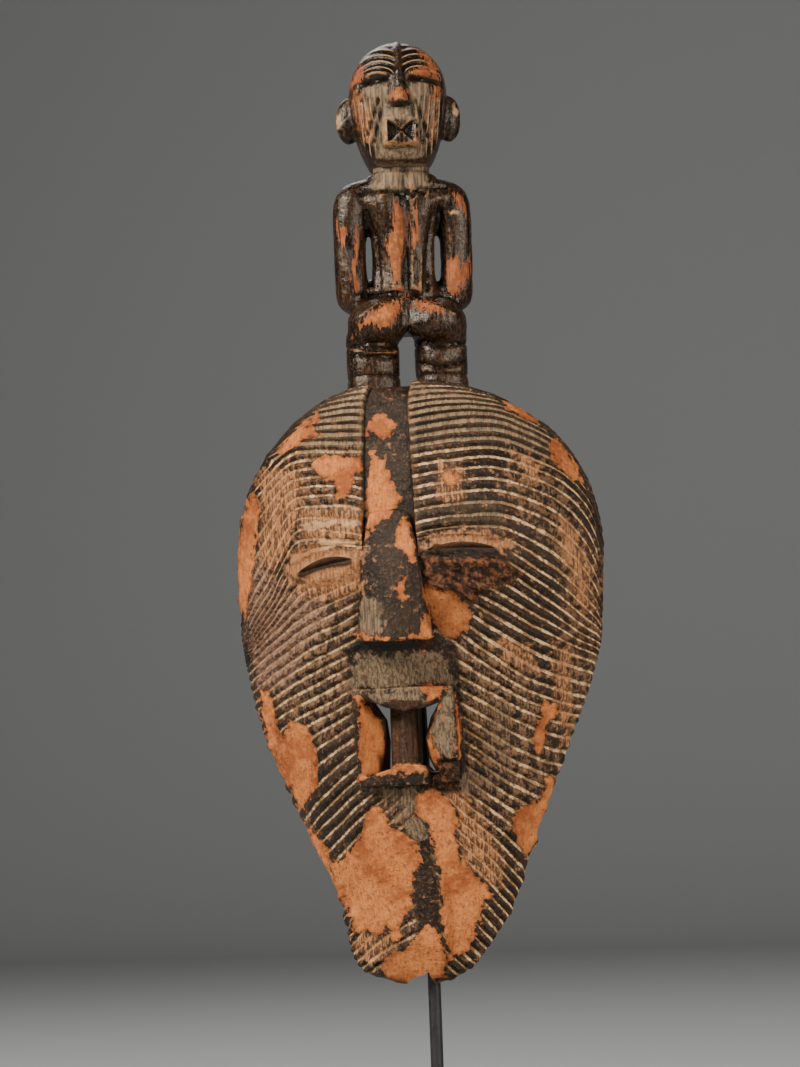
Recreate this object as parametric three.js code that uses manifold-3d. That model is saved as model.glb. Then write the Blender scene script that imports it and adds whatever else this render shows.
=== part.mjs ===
// Carved wooden face mask with a striped, domed face and a small two-faced figure on its crown,
// held up on a steel rod and foot. Millimetres, Z up, the mask looks along -Y.
// The origin is the middle of the foot's underside; heights marked "above the chin" start at the chin.

import * as THREE from 'three';
import { mergeVertices } from 'three/addons/utils/BufferGeometryUtils.js';
import Module from 'manifold-3d';

const wasm = await Module();
wasm.setup();

// Driving dimensions of the stand
const CHIN_HEIGHT = 130;
const FOOT_SIDE = 180;
const FOOT_THICKNESS = 10;
const FOOT_BEVEL = 1.5;
const ROD_DIAMETER = 9;
const ROD_IN_FOOT = 7;
const GAP = 0.3;
const ROD_TIP_FORWARD = 30;
const ROD_TIP_HEIGHT = 404;
const ROD_SOCKET_LENGTH = 50;
const ROD_STEPS = 18;
const ROD_SIDES = 14;
const BORE_SIDES = 24;

// Driving dimensions of the mask, heights above the chin
const WIDEST_HEIGHT = 290;
const DOME_TOP = 418.5;
const HALF_WIDTH = 133;
const DOME_POWER_LEFT = 2.0;
const DOME_POWER_RIGHT = 2.35;
const DOME_CORNER = 25;
const CROWN_BACK = 18;
const CROWN_BACK_HALF = 105;
const CHIN_RIM_FORWARD = 7;
const CHIN_RIM_REACH = 120;
const WALL = 14;
const RIM_WALL = 10;
const CROWN_WALL = 26;

// Hollow for the wearer's face, opening out from its own middle
const HOLLOW_MIDDLE = 255;
const HOLLOW_TURNS = 32;
const HOLLOW_CROWDING = 0.4;
const HOLLOW_SHARES = [1, 0.96, 0.86, 0.7, 0.48, 0.22];
const THINNEST_HOLLOW = 2;
const LONGEST_REACH = 400;

// Outline below the widest level: the left side (seen from the front) is whole, the right one chipped
const OUTLINE_HEIGHTS = [0, 9, 28, 51, 93, 140, 190, 240, 290];
const OUTLINE_LEFT = [16, 47, 58, 61, 80, 102, 120, 129.5, 133];
const OUTLINE_RIGHT = [2, 26, 43, 58, 74, 93, 114, 129.5, 133];

// Middle profile: how far the face stands in front of the rim
const PROFILE_HEIGHTS = [0, 20, 50, 90, 130, 170, 205, 240, 290, 340, 426];
const PROFILE_DEPTHS = [13, 17, 24, 34, 45, 53, 61, 73, 88, 91, 86];

// Key stripes of each cheek: number from the crown down, then heights along the skin at the stations,
// which are angles from the middle line (0) to the rim (90)
const STATIONS = [0, 15, 30, 50, 70, 90];
const STRIPES_RIGHT = [
  [0, [505, 505, 504, 501, 497, 494]],
  [5, [456, 457, 457, 450, 440, 431]],
  [10.5, [410, 413, 414, 406, 390, 366]],
  [15.7, [380, 386, 388, 377, 354, 322]],
  [20, [353, 359, 361, 351, 330, 292]],
  [24, [321, 328, 330, 319, 294, 262]],
  [26, [305, 312, 314, 299, 274, 250]],
  [30, [296, 296, 288, 264, 244, 236]],
  [34, [284, 275, 255, 233, 223, 219]],
  [37.4, [262, 248, 225, 203, 195, 193]],
  [39.7, [242, 223, 205, 187, 180, 178]],
  [42.9, [214, 196, 179, 160, 152, 150]],
  [47.1, [182, 164, 147, 129, 119, 115]],
  [51, [154, 138, 118, 100, 84, 76]],
  [57, [100, 86, 74, 58, 46, 40]],
  [63, [38, 30, 24, 16, 11, 9]],
  [66, [9, 6, 4, 2, 1, 0.5]],
];
const STRIPES_LEFT = [
  [0, [505, 505, 504, 501, 497, 494]],
  [5, [456, 457, 456, 448, 438, 430]],
  [10.5, [410, 412, 410, 398, 384, 366]],
  [15.7, [380, 384, 385, 370, 350, 326]],
  [20, [353, 358, 360, 342, 318, 298]],
  [24, [321, 332, 334, 302, 278, 260]],
  [26, [305, 314, 318, 284, 262, 246]],
  [30, [296, 296, 290, 262, 244, 234]],
  [34, [284, 270, 260, 243, 232, 227]],
  [38, [257, 240, 229, 216, 206, 202]],
  [42, [222, 209, 198, 187, 177, 172]],
  [45, [199, 187, 175, 161, 150, 145]],
  [48, [176, 163, 149, 133, 120, 114]],
  [50.4, [158, 143, 130, 115, 105, 101]],
  [57, [100, 88, 78, 63, 51, 46]],
  [63, [38, 33, 28, 20, 14, 12]],
  [66, [9, 7, 6, 4, 2, 0.5]],
];
const LAST_STRIPE = 66;
const ROWS_PER_STRIPE = 2;
const COLUMNS = [0, 0.12, 0.2, 0.38, 0.56, 0.72, 0.86, 0.95, 1];
const GROOVE_DEPTH = 1.6;

// Keel down the forehead, nose, mouth frame and eyes
const KEEL_HEIGHTS = [306, 380, 415];
const KEEL_HALF_WIDTHS = [18, 16, 14.5];
const KEEL_RISE = 3;
const KEEL_EDGE = 1.5;
const NOSE_STATIONS = [
  { height: 326, half: 13, side: 1, ridge: 2.2 },
  { height: 296, half: 19.5, side: 4.5, ridge: 9 },
  { height: 266, half: 22.5, side: 9, ridge: 20 },
  { height: 236, half: 27, side: 15, ridge: 33 },
];
const NOSE_UNDERCUT = 5;
const MOUTH = { top: 206, bottom: 139, half: 36, frontTop: 70, frontBottom: 55, wedgeDepth: 20 };
const MOUTH_BURIED = 3;
const MOUTH_FRONT = [
  [-31, 200], [-13, 193], [1.5, 189.5], [13, 193], [27.5, 198.5], [24, 187], [19.5, 172], [22, 158],
  [25.5, 147], [15, 147], [10.5, 152], [1, 154], [-20, 149], [-33, 144], [-32, 170], [-31.5, 187],
];
const MOUTH_THROAT = [
  [-26, 199], [-13, 193], [1.5, 190.5], [13, 193], [24, 197], [14.8, 185.5], [9.6, 171], [11, 158],
  [15, 149], [13, 148.5], [10, 152], [1, 153], [-14, 149], [-19, 147], [-16.5, 170], [-17.5, 185],
];
const MOUTH_BAR = { middle: -3.4, half: 10, ridgeDepth: 55, edgeDepth: 49, backDepth: 38 };
const EYE_LEFT = { inner: [-27, 294], outer: [-70, 287.5], open: 3.2 };
const EYE_RIGHT = { inner: [25, 297], outer: [71, 297.5], open: 2.6 };
const EYE_SLOPE = 0.5;
const EYE_CUT_FRONT = -120;
const EYE_CUT_BACK = -20;
const EYE_SOCKET = { x: 49, left: 291.5, right: 296.5, half: 33, rise: 15, sink: 3 };
const KEEL_SHARE = 0.25;

// Places without stripes: beside the nose, round the mouth and down the middle of the chin
const PLAIN_NOSE = { low: 232, high: 290, half: 28 };
const PLAIN_MOUTH = { low: 134, high: 232, half: 40 };
const PLAIN_CHIN = { high: 134, middle: 3, half: 10 };

// Driving dimensions of the figure, heights above the chin, x from its own middle, -y its back
const FIGURE_AT = [-1, -8];
const BODY_TURN = 19;
const HEAD_TURN = 15;
const FIGURE_BASE = 408;
const LEG = { x: 24.5, half: 18.7, depth: 20, top: 462 };
const ARM_PATH = [
  [27, 0, 566], [36.5, -1, 554], [38.5, 0, 520], [37, 2, 489],
  [32, 17, 488], [19, 26, 498], [8, 29, 504],
];
const ARM_RADII = [8, 13, 11.6, 12, 10.5, 8.5, 6];
const TORSO_RINGS = [
  { z: 462, rx: 34, ry: 21, y: 0 },
  { z: 478, rx: 31, ry: 20, y: 1 },
  { z: 489, rx: 25.5, ry: 18, y: 2 },
  { z: 508, rx: 22.5, ry: 17, y: 2 },
  { z: 530, rx: 23, ry: 17, y: 0 },
  { z: 546, rx: 26, ry: 17.5, y: -1 },
  { z: 557, rx: 38, ry: 17, y: -1 },
  { z: 567, rx: 37, ry: 14.5, y: -1 },
  { z: 574, rx: 24, ry: 12, y: -1 },
];
const BUTTOCK = { x: 21.5, y: -9, z: 467, rx: 21.5, ry: 19, rz: 18.5 };
const NECK = { radius: 20, bottom: 562, top: 592 };
const HEAD_RINGS = [
  { z: 579, rx: 15, ry: 22 },
  { z: 583, rx: 22, ry: 31 },
  { z: 592, rx: 27, ry: 35.5 },
  { z: 605, rx: 31, ry: 38 },
  { z: 620, rx: 33.5, ry: 39 },
  { z: 635, rx: 35, ry: 39 },
  { z: 648, rx: 33, ry: 36.5 },
  { z: 658, rx: 27.5, ry: 32 },
  { z: 666, rx: 19, ry: 24 },
  { z: 671, rx: 9, ry: 12 },
];
const HEAD_POWER = 2.5;
const EAR = { x: 36, z: 617, reach: 9, height: 17, thickness: 7 };
const SMALL_SKIN = -37;
const SMALL_NOSE = { top: 645, base: 621, half: 8.5, out: 8 };
const SMALL_MOUTH = { top: 609, bottom: 591, half: 10.5, out: 3.5, groove: 3 };
const SMALL_EYE = { x: 16, z: 637, half: 10, rise: 2.4, cut: 2.2 };
const BELLY = { y: 13, z: 500, rx: 20, ry: 12, rz: 22 };
const NAVEL = { y: 24.5, z: 490, radius: 4, out: 5 };
const SPINE_PATH = [[0, -19.6, 586], [0, -20.2, 560], [0, -19.5, 530], [0, -17.5, 505], [0, -21, 486]];
const SPINE_RADII = [2.5, 3.2, 3, 2.6, 2.4];
const ROUND_SIDES = 12;

// Smooth curve through key values that never overshoots them
function throughKeys(keys, values, at) {
  const last = keys.length - 1;
  const slope = [];
  for (let i = 0; i < last; i += 1) {
    slope.push((values[i + 1] - values[i]) / (keys[i + 1] - keys[i]));
  }
  const tangent = [slope[0]];
  for (let i = 1; i < last; i += 1) {
    const before = keys[i] - keys[i - 1];
    const after = keys[i + 1] - keys[i];
    const weightA = 2 * after + before;
    const weightB = after + 2 * before;
    const same = slope[i - 1] * slope[i] > 0;
    tangent.push(same ? (weightA + weightB) / (weightA / slope[i - 1] + weightB / slope[i]) : 0);
  }
  tangent.push(slope[last - 1]);
  let span = 0;
  while (span < last - 1 && at >= keys[span + 1]) {
    span += 1;
  }
  const width = keys[span + 1] - keys[span];
  const s = Math.min(1, Math.max(0, (at - keys[span]) / width));
  const rest = 1 - s;
  return (1 + 2 * s) * rest * rest * values[span]
    + s * rest * rest * width * tangent[span]
    + s * s * (3 - 2 * s) * values[span + 1]
    - s * s * rest * width * tangent[span + 1];
}

function smoothStep(from, to, at) {
  const s = Math.min(1, Math.max(0, (at - from) / (to - from)));
  return s * s * (3 - 2 * s);
}

// Outline of the mask seen from the front
function halfWidth(height, side) {
  return throughKeys(OUTLINE_HEIGHTS, side < 0 ? OUTLINE_LEFT : OUTLINE_RIGHT, height);
}

function domeOutline(x) {
  const power = x < 0 ? DOME_POWER_LEFT : DOME_POWER_RIGHT;
  const share = Math.min(1, Math.abs(x) / HALF_WIDTH);
  return WIDEST_HEIGHT + (DOME_TOP - WIDEST_HEIGHT) * (1 - share ** power) ** (1 / power);
}

function profileDepth(height) {
  return throughKeys(PROFILE_HEIGHTS, PROFILE_DEPTHS, height);
}

function crossSection(share) {
  return (1 - Math.min(1, share) ** 2) ** 0.75;
}

function rimForward(height) {
  return CHIN_RIM_FORWARD * Math.max(0, 1 - height / CHIN_RIM_REACH) ** 2;
}

// Lengths of the three stretches of an upright section through the dome: front, bend and top
function domeSection(x) {
  const outline = domeOutline(x);
  const depth = profileDepth(WIDEST_HEIGHT) * crossSection(Math.abs(x) / HALF_WIDTH);
  const rise = outline - WIDEST_HEIGHT;
  const bend = Math.max(1e-6, Math.min(DOME_CORNER, 0.45 * depth, 0.5 * rise));
  const lean = profileDepth(DOME_TOP) / profileDepth(WIDEST_HEIGHT);
  const back = CROWN_BACK * (1 - Math.min(1, Math.abs(x) / CROWN_BACK_HALF) ** 2) ** 2;
  const front = rise - bend;
  const arc = bend * Math.PI / 2;
  const top = depth * lean - bend + back;
  return { outline, depth, bend, front, arc, top, back, length: front + arc + top };
}

// The skin of the mask: x across, and the length along the skin upwards from the chin
function skinPoint(x, along) {
  if (along <= WIDEST_HEIGHT) {
    const forward = rimForward(along);
    const share = Math.abs(x) / halfWidth(along, x);
    const depth = (profileDepth(along) - forward) * crossSection(share);
    return new THREE.Vector3(x, -forward - depth, along);
  }
  const section = domeSection(x);
  const lean = profileDepth(Math.min(along, DOME_TOP)) / profileDepth(WIDEST_HEIGHT);
  const past = along - WIDEST_HEIGHT;
  if (past < section.front) {
    return new THREE.Vector3(x, -section.depth * lean, WIDEST_HEIGHT + past);
  }
  if (past < section.front + section.arc) {
    const turn = (past - section.front) / section.bend;
    const y = -section.depth * lean + section.bend * (1 - Math.cos(turn));
    return new THREE.Vector3(x, y, WIDEST_HEIGHT + section.front + section.bend * Math.sin(turn));
  }
  const run = past - section.front - section.arc;
  const y = Math.min(section.back, -section.depth * lean + section.bend + run);
  return new THREE.Vector3(x, y, section.outline);
}

// Height along the skin of a stripe at each station, the middle shared by both sides
function stripeHeights(stripe, side) {
  const table = side < 0 ? STRIPES_LEFT : STRIPES_RIGHT;
  const numbers = table.map((row) => row[0]);
  const heights = STATIONS.map((_, i) => throughKeys(numbers, table.map((row) => row[1][i]), stripe));
  const other = side < 0 ? STRIPES_RIGHT : STRIPES_LEFT;
  const otherMiddle = throughKeys(other.map((row) => row[0]), other.map((row) => row[1][0]), stripe);
  heights[0] = (heights[0] + otherMiddle) / 2;
  return heights;
}

// Where a stripe that ends at this length along the skin meets the rim
function reachOfStripe(rimHeight, side) {
  if (rimHeight <= WIDEST_HEIGHT) {
    return halfWidth(rimHeight, side);
  }
  let inside = 0;
  let outside = HALF_WIDTH;
  for (let i = 0; i < 40; i += 1) {
    const middle = (inside + outside) / 2;
    if (WIDEST_HEIGHT + domeSection(side * middle).length > rimHeight) {
      inside = middle;
    } else {
      outside = middle;
    }
  }
  return inside;
}

// Length along the skin of a stripe at a distance from the middle line
function stripeAt(heights, reach, across) {
  const angle = THREE.MathUtils.radToDeg(Math.asin(Math.min(1, across / reach)));
  return throughKeys(STATIONS, heights, angle);
}

// Where a stripe runs over the edge of the dome
function endOfStripe(heights, reach, side) {
  const room = (x) => WIDEST_HEIGHT + domeSection(side * x).length - stripeAt(heights, reach, x);
  let inside = reach / 2;
  let outside = reach * 0.9995;
  if (stripeAt(heights, reach, outside) <= WIDEST_HEIGHT || room(outside) > 0) {
    return reach;
  }
  for (let i = 0; i < 40; i += 1) {
    const middle = (inside + outside) / 2;
    if (room(middle) > 0) {
      inside = middle;
    } else {
      outside = middle;
    }
  }
  return inside;
}

function keelHalfWidth(height) {
  const [low, , high] = KEEL_HEIGHTS;
  return throughKeys(KEEL_HEIGHTS, KEEL_HALF_WIDTHS, Math.min(high, Math.max(low, height)));
}

// Share of the groove depth at a place on the skin: none on the keel, nose, mouth, chin band and eyes
function grooveShare(x, along, side) {
  const across = Math.abs(x);
  const onKeel = along > PLAIN_NOSE.high && across < keelHalfWidth(along) + KEEL_EDGE;
  const onNose = along <= PLAIN_NOSE.high && along > PLAIN_NOSE.low && across < PLAIN_NOSE.half;
  const atMouth = along <= PLAIN_MOUTH.high && along > PLAIN_MOUTH.low && across < PLAIN_MOUTH.half;
  const onChin = along <= PLAIN_CHIN.high && Math.abs(x - PLAIN_CHIN.middle) < PLAIN_CHIN.half;
  if (onKeel || onNose || atMouth || onChin) {
    return 0;
  }
  return smoothStep(0.9, 1.15, eyeReach(x, along, side)) * smoothStep(2, 14, along);
}

// How far out from the middle of the eye socket a place lies, 1 being the socket's edge
function eyeReach(x, along, side) {
  const level = side < 0 ? EYE_SOCKET.left : EYE_SOCKET.right;
  return Math.hypot((Math.abs(x) - EYE_SOCKET.x) / EYE_SOCKET.half, (along - level) / EYE_SOCKET.rise);
}

function eyeSink(x, along, side) {
  return EYE_SOCKET.sink * (1 - smoothStep(0.45, 1, eyeReach(x, along, side)));
}

function keelRise(x, along) {
  const edge = Math.abs(x) - keelHalfWidth(along);
  return KEEL_RISE * (1 - smoothStep(0, KEEL_EDGE, edge)) * smoothStep(250, 300, along);
}

// Point of the carved face: stripe number, side and share of the way from the middle to the rim
function facePoint(stripe, side, share) {
  const heights = stripeHeights(stripe, side);
  const reach = reachOfStripe(heights[heights.length - 1], side);
  const end = endOfStripe(heights, reach, side);
  const keel = Math.min(keelHalfWidth(heights[0]), reach * KEEL_SHARE);
  let across = 0;
  if (share > 0) {
    const inner = share <= COLUMNS[1] ? keel : keel + KEEL_EDGE;
    const outward = Math.max(0, (share - COLUMNS[2]) / (1 - COLUMNS[2]));
    across = inner + (end - inner) * Math.sin(outward * Math.PI / 2);
  }
  const along = stripeAt(heights, reach, across);
  const x = side * across;
  const point = skinPoint(x, along);
  if (share === 1) {
    return point;
  }
  const step = 1;
  const sideways = skinPoint(x + step, along).sub(skinPoint(x - step, along));
  const upwards = skinPoint(x, along + step).sub(skinPoint(x, along - step));
  const outwards = sideways.cross(upwards).normalize();
  const inGroove = Math.round(stripe * ROWS_PER_STRIPE) % ROWS_PER_STRIPE === 1;
  const groove = inGroove ? GROOVE_DEPTH * grooveShare(x, along, side) : 0;
  return point.addScaledVector(outwards, keelRise(x, along) - groove - eyeSink(x, along, side));
}

// Triangle lists
function newShape() {
  return { points: [], faces: [] };
}

function addPoint(shape, point) {
  shape.points.push(point);
  return shape.points.length - 1;
}

function addQuad(shape, a, b, c, d) {
  shape.faces.push([a, b, c], [a, c, d]);
}

function signedVolume(shape) {
  let volume = 0;
  for (const [a, b, c] of shape.faces) {
    volume += shape.points[a].dot(shape.points[b].clone().cross(shape.points[c]));
  }
  return volume;
}

function solidFromShape(shape) {
  const flip = signedVolume(shape) < 0;
  const vertProperties = new Float32Array(shape.points.flatMap((p) => [p.x, p.y, p.z]));
  const triVerts = new Uint32Array(shape.faces.flatMap(([a, b, c]) => (flip ? [a, c, b] : [a, b, c])));
  return new wasm.Manifold(new wasm.Mesh({ numProp: 3, vertProperties, triVerts }));
}

function solidFromGeometry(geometry) {
  const bare = geometry.clone();
  bare.deleteAttribute('normal');
  bare.deleteAttribute('uv');
  const merged = mergeVertices(bare, 1e-4);
  const places = merged.attributes.position;
  const shape = newShape();
  for (let i = 0; i < places.count; i += 1) {
    addPoint(shape, new THREE.Vector3().fromBufferAttribute(places, i));
  }
  const index = merged.index.array;
  for (let i = 0; i < index.length; i += 3) {
    const [a, b, c] = [index[i], index[i + 1], index[i + 2]];
    if (a !== b && b !== c && a !== c) {
      shape.faces.push([a, b, c]);
    }
  }
  return solidFromShape(shape);
}

// Geometry of a solid, its triangles listed from the top down
function geometryFromSolid(solid) {
  const mesh = solid.getMesh();
  const geometry = new THREE.BufferGeometry();
  const places = [];
  for (let i = 0; i < mesh.numVert; i += 1) {
    places.push(...mesh.vertProperties.slice(i * mesh.numProp, i * mesh.numProp + 3));
  }
  geometry.setAttribute('position', new THREE.Float32BufferAttribute(places, 3));
  const triangles = [];
  for (let i = 0; i < mesh.triVerts.length; i += 3) {
    triangles.push(Array.from(mesh.triVerts.slice(i, i + 3)));
  }
  const height = (corners) => corners.reduce((sum, corner) => sum + places[corner * 3 + 2], 0);
  triangles.sort((a, b) => height(b) - height(a));
  geometry.setIndex(triangles.flat());
  return geometry;
}

// A skin through rings of equal length, closed at both ends
function loftShape(rings) {
  const shape = newShape();
  const count = rings[0].length;
  for (const ring of rings) {
    for (const point of ring) {
      addPoint(shape, point);
    }
  }
  for (let r = 0; r + 1 < rings.length; r += 1) {
    for (let i = 0; i < count; i += 1) {
      const next = (i + 1) % count;
      const low = r * count;
      const high = low + count;
      addQuad(shape, low + i, low + next, high + next, high + i);
    }
  }
  const ends = [[rings[0], 0, true], [rings[rings.length - 1], (rings.length - 1) * count, false]];
  for (const [ring, first, start] of ends) {
    const middle = ring.reduce((sum, p) => sum.add(p), new THREE.Vector3()).divideScalar(count);
    const hub = addPoint(shape, middle);
    for (let i = 0; i < count; i += 1) {
      const next = (i + 1) % count;
      shape.faces.push(start ? [hub, first + next, first + i] : [hub, first + i, first + next]);
    }
  }
  return shape;
}

function loft(rings) {
  return solidFromShape(loftShape(rings));
}

// Rounded level ring, squarer as the power grows
function levelRing(rx, ry, z, x = 0, y = 0, power = 2, sides = ROUND_SIDES) {
  const ring = [];
  for (let i = 0; i < sides; i += 1) {
    const angle = 2 * Math.PI * i / sides;
    const c = Math.cos(angle);
    const s = Math.sin(angle);
    const px = Math.sign(c) * Math.abs(c) ** (2 / power) * rx;
    const py = Math.sign(s) * Math.abs(s) ** (2 / power) * ry;
    ring.push(new THREE.Vector3(x + px, y + py, z));
  }
  return ring;
}

function ellipsoid(x, y, z, rx, ry, rz) {
  const geometry = new THREE.SphereGeometry(1, ROUND_SIDES, 8);
  geometry.rotateX(Math.PI / 2);
  geometry.scale(rx, ry, rz);
  geometry.translate(x, y, z);
  return solidFromGeometry(geometry);
}

function limb(path, radii, sides = 9) {
  const curve = new THREE.CatmullRomCurve3(path.map((p) => new THREE.Vector3(...p)));
  const steps = (path.length - 1) * 2;
  const frames = curve.computeFrenetFrames(steps, false);
  const stations = radii.map((_, i) => i / (radii.length - 1));
  const rings = [];
  for (let k = 0; k <= steps; k += 1) {
    const share = k / steps;
    const centre = curve.getPoint(share);
    const radius = throughKeys(stations, radii, share);
    const ring = [];
    for (let i = 0; i < sides; i += 1) {
      const angle = 2 * Math.PI * i / sides;
      const offset = frames.normals[k].clone().multiplyScalar(Math.cos(angle) * radius);
      offset.addScaledVector(frames.binormals[k], Math.sin(angle) * radius);
      ring.push(centre.clone().add(offset));
    }
    rings.push(ring);
  }
  return loft(rings);
}

// A bar whose outline lies in the XZ plane, running from one depth to another
function prismThrough(outline, yFront, yBack) {
  const front = outline.map(([x, z]) => new THREE.Vector3(x, yFront, z));
  const back = outline.map(([x, z]) => new THREE.Vector3(x, yBack, z));
  return loft([front, back]);
}

// How far the hollow reaches from its middle in one direction
function hollowReach(c, s) {
  let reach = 0;
  for (let step = 1; step < LONGEST_REACH; step += 1) {
    const x = step * c;
    const z = HOLLOW_MIDDLE + step * s;
    const top = domeOutline(x) - CROWN_WALL + RIM_WALL;
    const inDome = z >= WIDEST_HEIGHT && z < top && Math.abs(x) < HALF_WIDTH;
    const inFace = z < WIDEST_HEIGHT && z > 0 && Math.abs(x) < halfWidth(z, x);
    if (!inDome && !inFace) {
      break;
    }
    reach = step;
  }
  return reach - RIM_WALL;
}

// Rings of the hollow from its rim inwards, clockwise as seen from the front
function hollowRings() {
  const rings = [];
  for (const share of HOLLOW_SHARES) {
    const ring = [];
    for (let i = 0; i < HOLLOW_TURNS; i += 1) {
      const turn = -2 * Math.PI * i / HOLLOW_TURNS;
      const angle = turn - HOLLOW_CROWDING * Math.cos(turn);
      const out = hollowReach(Math.cos(angle), Math.sin(angle)) * share;
      const z = HOLLOW_MIDDLE + out * Math.sin(angle);
      const depth = Math.max(THINNEST_HOLLOW, profileDepth(z) - WALL) * (1 - share ** 2.2) ** 0.6;
      ring.push(new THREE.Vector3(out * Math.cos(angle), -rimForward(z) - depth, z));
    }
    rings.push(ring);
  }
  return rings;
}

// Carved face, row by row from the back of the crown down to the chin
function addFace(shape) {
  const rows = [];
  for (let k = 0; k <= LAST_STRIPE * ROWS_PER_STRIPE; k += 1) {
    const stripe = k / ROWS_PER_STRIPE;
    const row = [];
    for (let j = COLUMNS.length - 1; j > 0; j -= 1) {
      row.push(addPoint(shape, facePoint(stripe, -1, COLUMNS[j])));
    }
    row.push(addPoint(shape, facePoint(stripe, 1, 0)));
    for (let j = 1; j < COLUMNS.length; j += 1) {
      row.push(addPoint(shape, facePoint(stripe, 1, COLUMNS[j])));
    }
    rows.push(row);
  }
  for (let r = 0; r + 1 < rows.length; r += 1) {
    for (let j = 0; j + 1 < rows[r].length; j += 1) {
      addQuad(shape, rows[r][j], rows[r + 1][j], rows[r + 1][j + 1], rows[r][j + 1]);
    }
  }
  return [
    ...rows[0],
    ...rows.slice(1, -1).map((row) => row[row.length - 1]),
    ...rows[rows.length - 1].slice().reverse(),
    ...rows.slice(1, -1).reverse().map((row) => row[0]),
  ];
}

// How far round the hollow's middle a point lies, clockwise from another
function turnFrom(start, point) {
  const angle = (p) => Math.atan2(p.z - HOLLOW_MIDDLE, p.x);
  const turn = angle(start) - angle(point);
  return turn < -1e-9 ? turn + 2 * Math.PI : turn;
}

// Flat rim between the edge of the carved face and the edge of the hollow
function addRim(shape, edge, inner) {
  const start = shape.points[edge[0]];
  const turns = inner.map((index) => turnFrom(start, shape.points[index]));
  const first = turns.indexOf(Math.min(...turns));
  const ring = [...inner.slice(first), ...inner.slice(0, first)];
  const outerTurn = (i) => (i >= edge.length ? 2 * Math.PI : turnFrom(start, shape.points[edge[i]]));
  const innerTurn = (i) => (i >= ring.length ? 2 * Math.PI : turnFrom(start, shape.points[ring[i]]));
  let out = 0;
  let into = 0;
  let current = ring[ring.length - 1];
  while (out < edge.length || into < ring.length) {
    if (into >= ring.length || (out < edge.length && outerTurn(out + 1) <= innerTurn(into))) {
      shape.faces.push([current, edge[out], edge[(out + 1) % edge.length]]);
      out += 1;
    } else {
      shape.faces.push([current, edge[out % edge.length], ring[into]]);
      current = ring[into];
      into += 1;
    }
  }
}

// Block of the mask: carved face, rim and hollow
function hollowBlock() {
  const shape = newShape();
  const edge = addFace(shape);
  const rings = hollowRings().map((ring) => ring.map((point) => addPoint(shape, point)));
  addRim(shape, edge, rings[0]);
  for (let r = 0; r + 1 < rings.length; r += 1) {
    for (let i = 0; i < HOLLOW_TURNS; i += 1) {
      const next = (i + 1) % HOLLOW_TURNS;
      addQuad(shape, rings[r + 1][i], rings[r][i], rings[r][next], rings[r + 1][next]);
    }
  }
  const deepest = new THREE.Vector3(0, WALL - profileDepth(HOLLOW_MIDDLE), HOLLOW_MIDDLE);
  const hub = addPoint(shape, deepest);
  const last = rings[rings.length - 1];
  for (let i = 0; i < HOLLOW_TURNS; i += 1) {
    shape.faces.push([hub, last[i], last[(i + 1) % HOLLOW_TURNS]]);
  }
  return solidFromShape(shape);
}

function noseSolid() {
  const rings = NOSE_STATIONS.map(({ height, half, side, ridge }, i) => {
    const face = skinPoint(0, height).y;
    const buried = face + 14;
    const lift = i === NOSE_STATIONS.length - 1 ? NOSE_UNDERCUT : 0;
    const flank = skinPoint(half, height).y;
    return [
      new THREE.Vector3(-half, buried, height + lift),
      new THREE.Vector3(-half, flank - side, height + lift * 0.3),
      new THREE.Vector3(-half * 0.5, face - (side + ridge) / 2 - 1, height + lift * 0.15),
      new THREE.Vector3(0, face - ridge, height),
      new THREE.Vector3(half * 0.5, face - (side + ridge) / 2 - 1, height + lift * 0.15),
      new THREE.Vector3(half, flank - side, height + lift * 0.3),
      new THREE.Vector3(half, buried, height + lift),
    ];
  });
  return loft(rings);
}

function mouthFrame() {
  const { top, bottom, half, frontTop, frontBottom } = MOUTH;
  const outline = [[-half, top], [half, top], [half, bottom], [-half, bottom]];
  const front = outline.map(([x, z]) => new THREE.Vector3(x, z === top ? -frontTop : -frontBottom, z));
  const back = outline.map(([x, z]) => skinPoint(x, z).add(new THREE.Vector3(0, MOUTH_BURIED, 0)));
  return loft([front, back]);
}

function mouthFrontDepth(z) {
  const share = (z - MOUTH.bottom) / (MOUTH.top - MOUTH.bottom);
  return MOUTH.frontBottom + share * (MOUTH.frontTop - MOUTH.frontBottom);
}

function mouthOpening() {
  const ringAt = (outline, behind) => outline.map(
    ([x, z]) => new THREE.Vector3(x, behind - mouthFrontDepth(z), z),
  );
  const inside = MOUTH_THROAT.map(([x, z]) => new THREE.Vector3(x, 20, z));
  return loft([
    ringAt(MOUTH_FRONT, -12),
    ringAt(MOUTH_FRONT, 0),
    ringAt(MOUTH_THROAT, MOUTH.wedgeDepth),
    inside,
  ]);
}

function mouthBar() {
  const { middle, half, ridgeDepth, edgeDepth, backDepth } = MOUTH_BAR;
  const section = [
    [middle - half, backDepth],
    [middle - half, edgeDepth],
    [middle, ridgeDepth],
    [middle + half, edgeDepth],
    [middle + half, backDepth],
  ];
  const levels = [MOUTH.bottom + 4, MOUTH.top - 4];
  return loft(levels.map((z) => section.map(([x, depth]) => new THREE.Vector3(x, -depth, z))));
}

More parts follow.
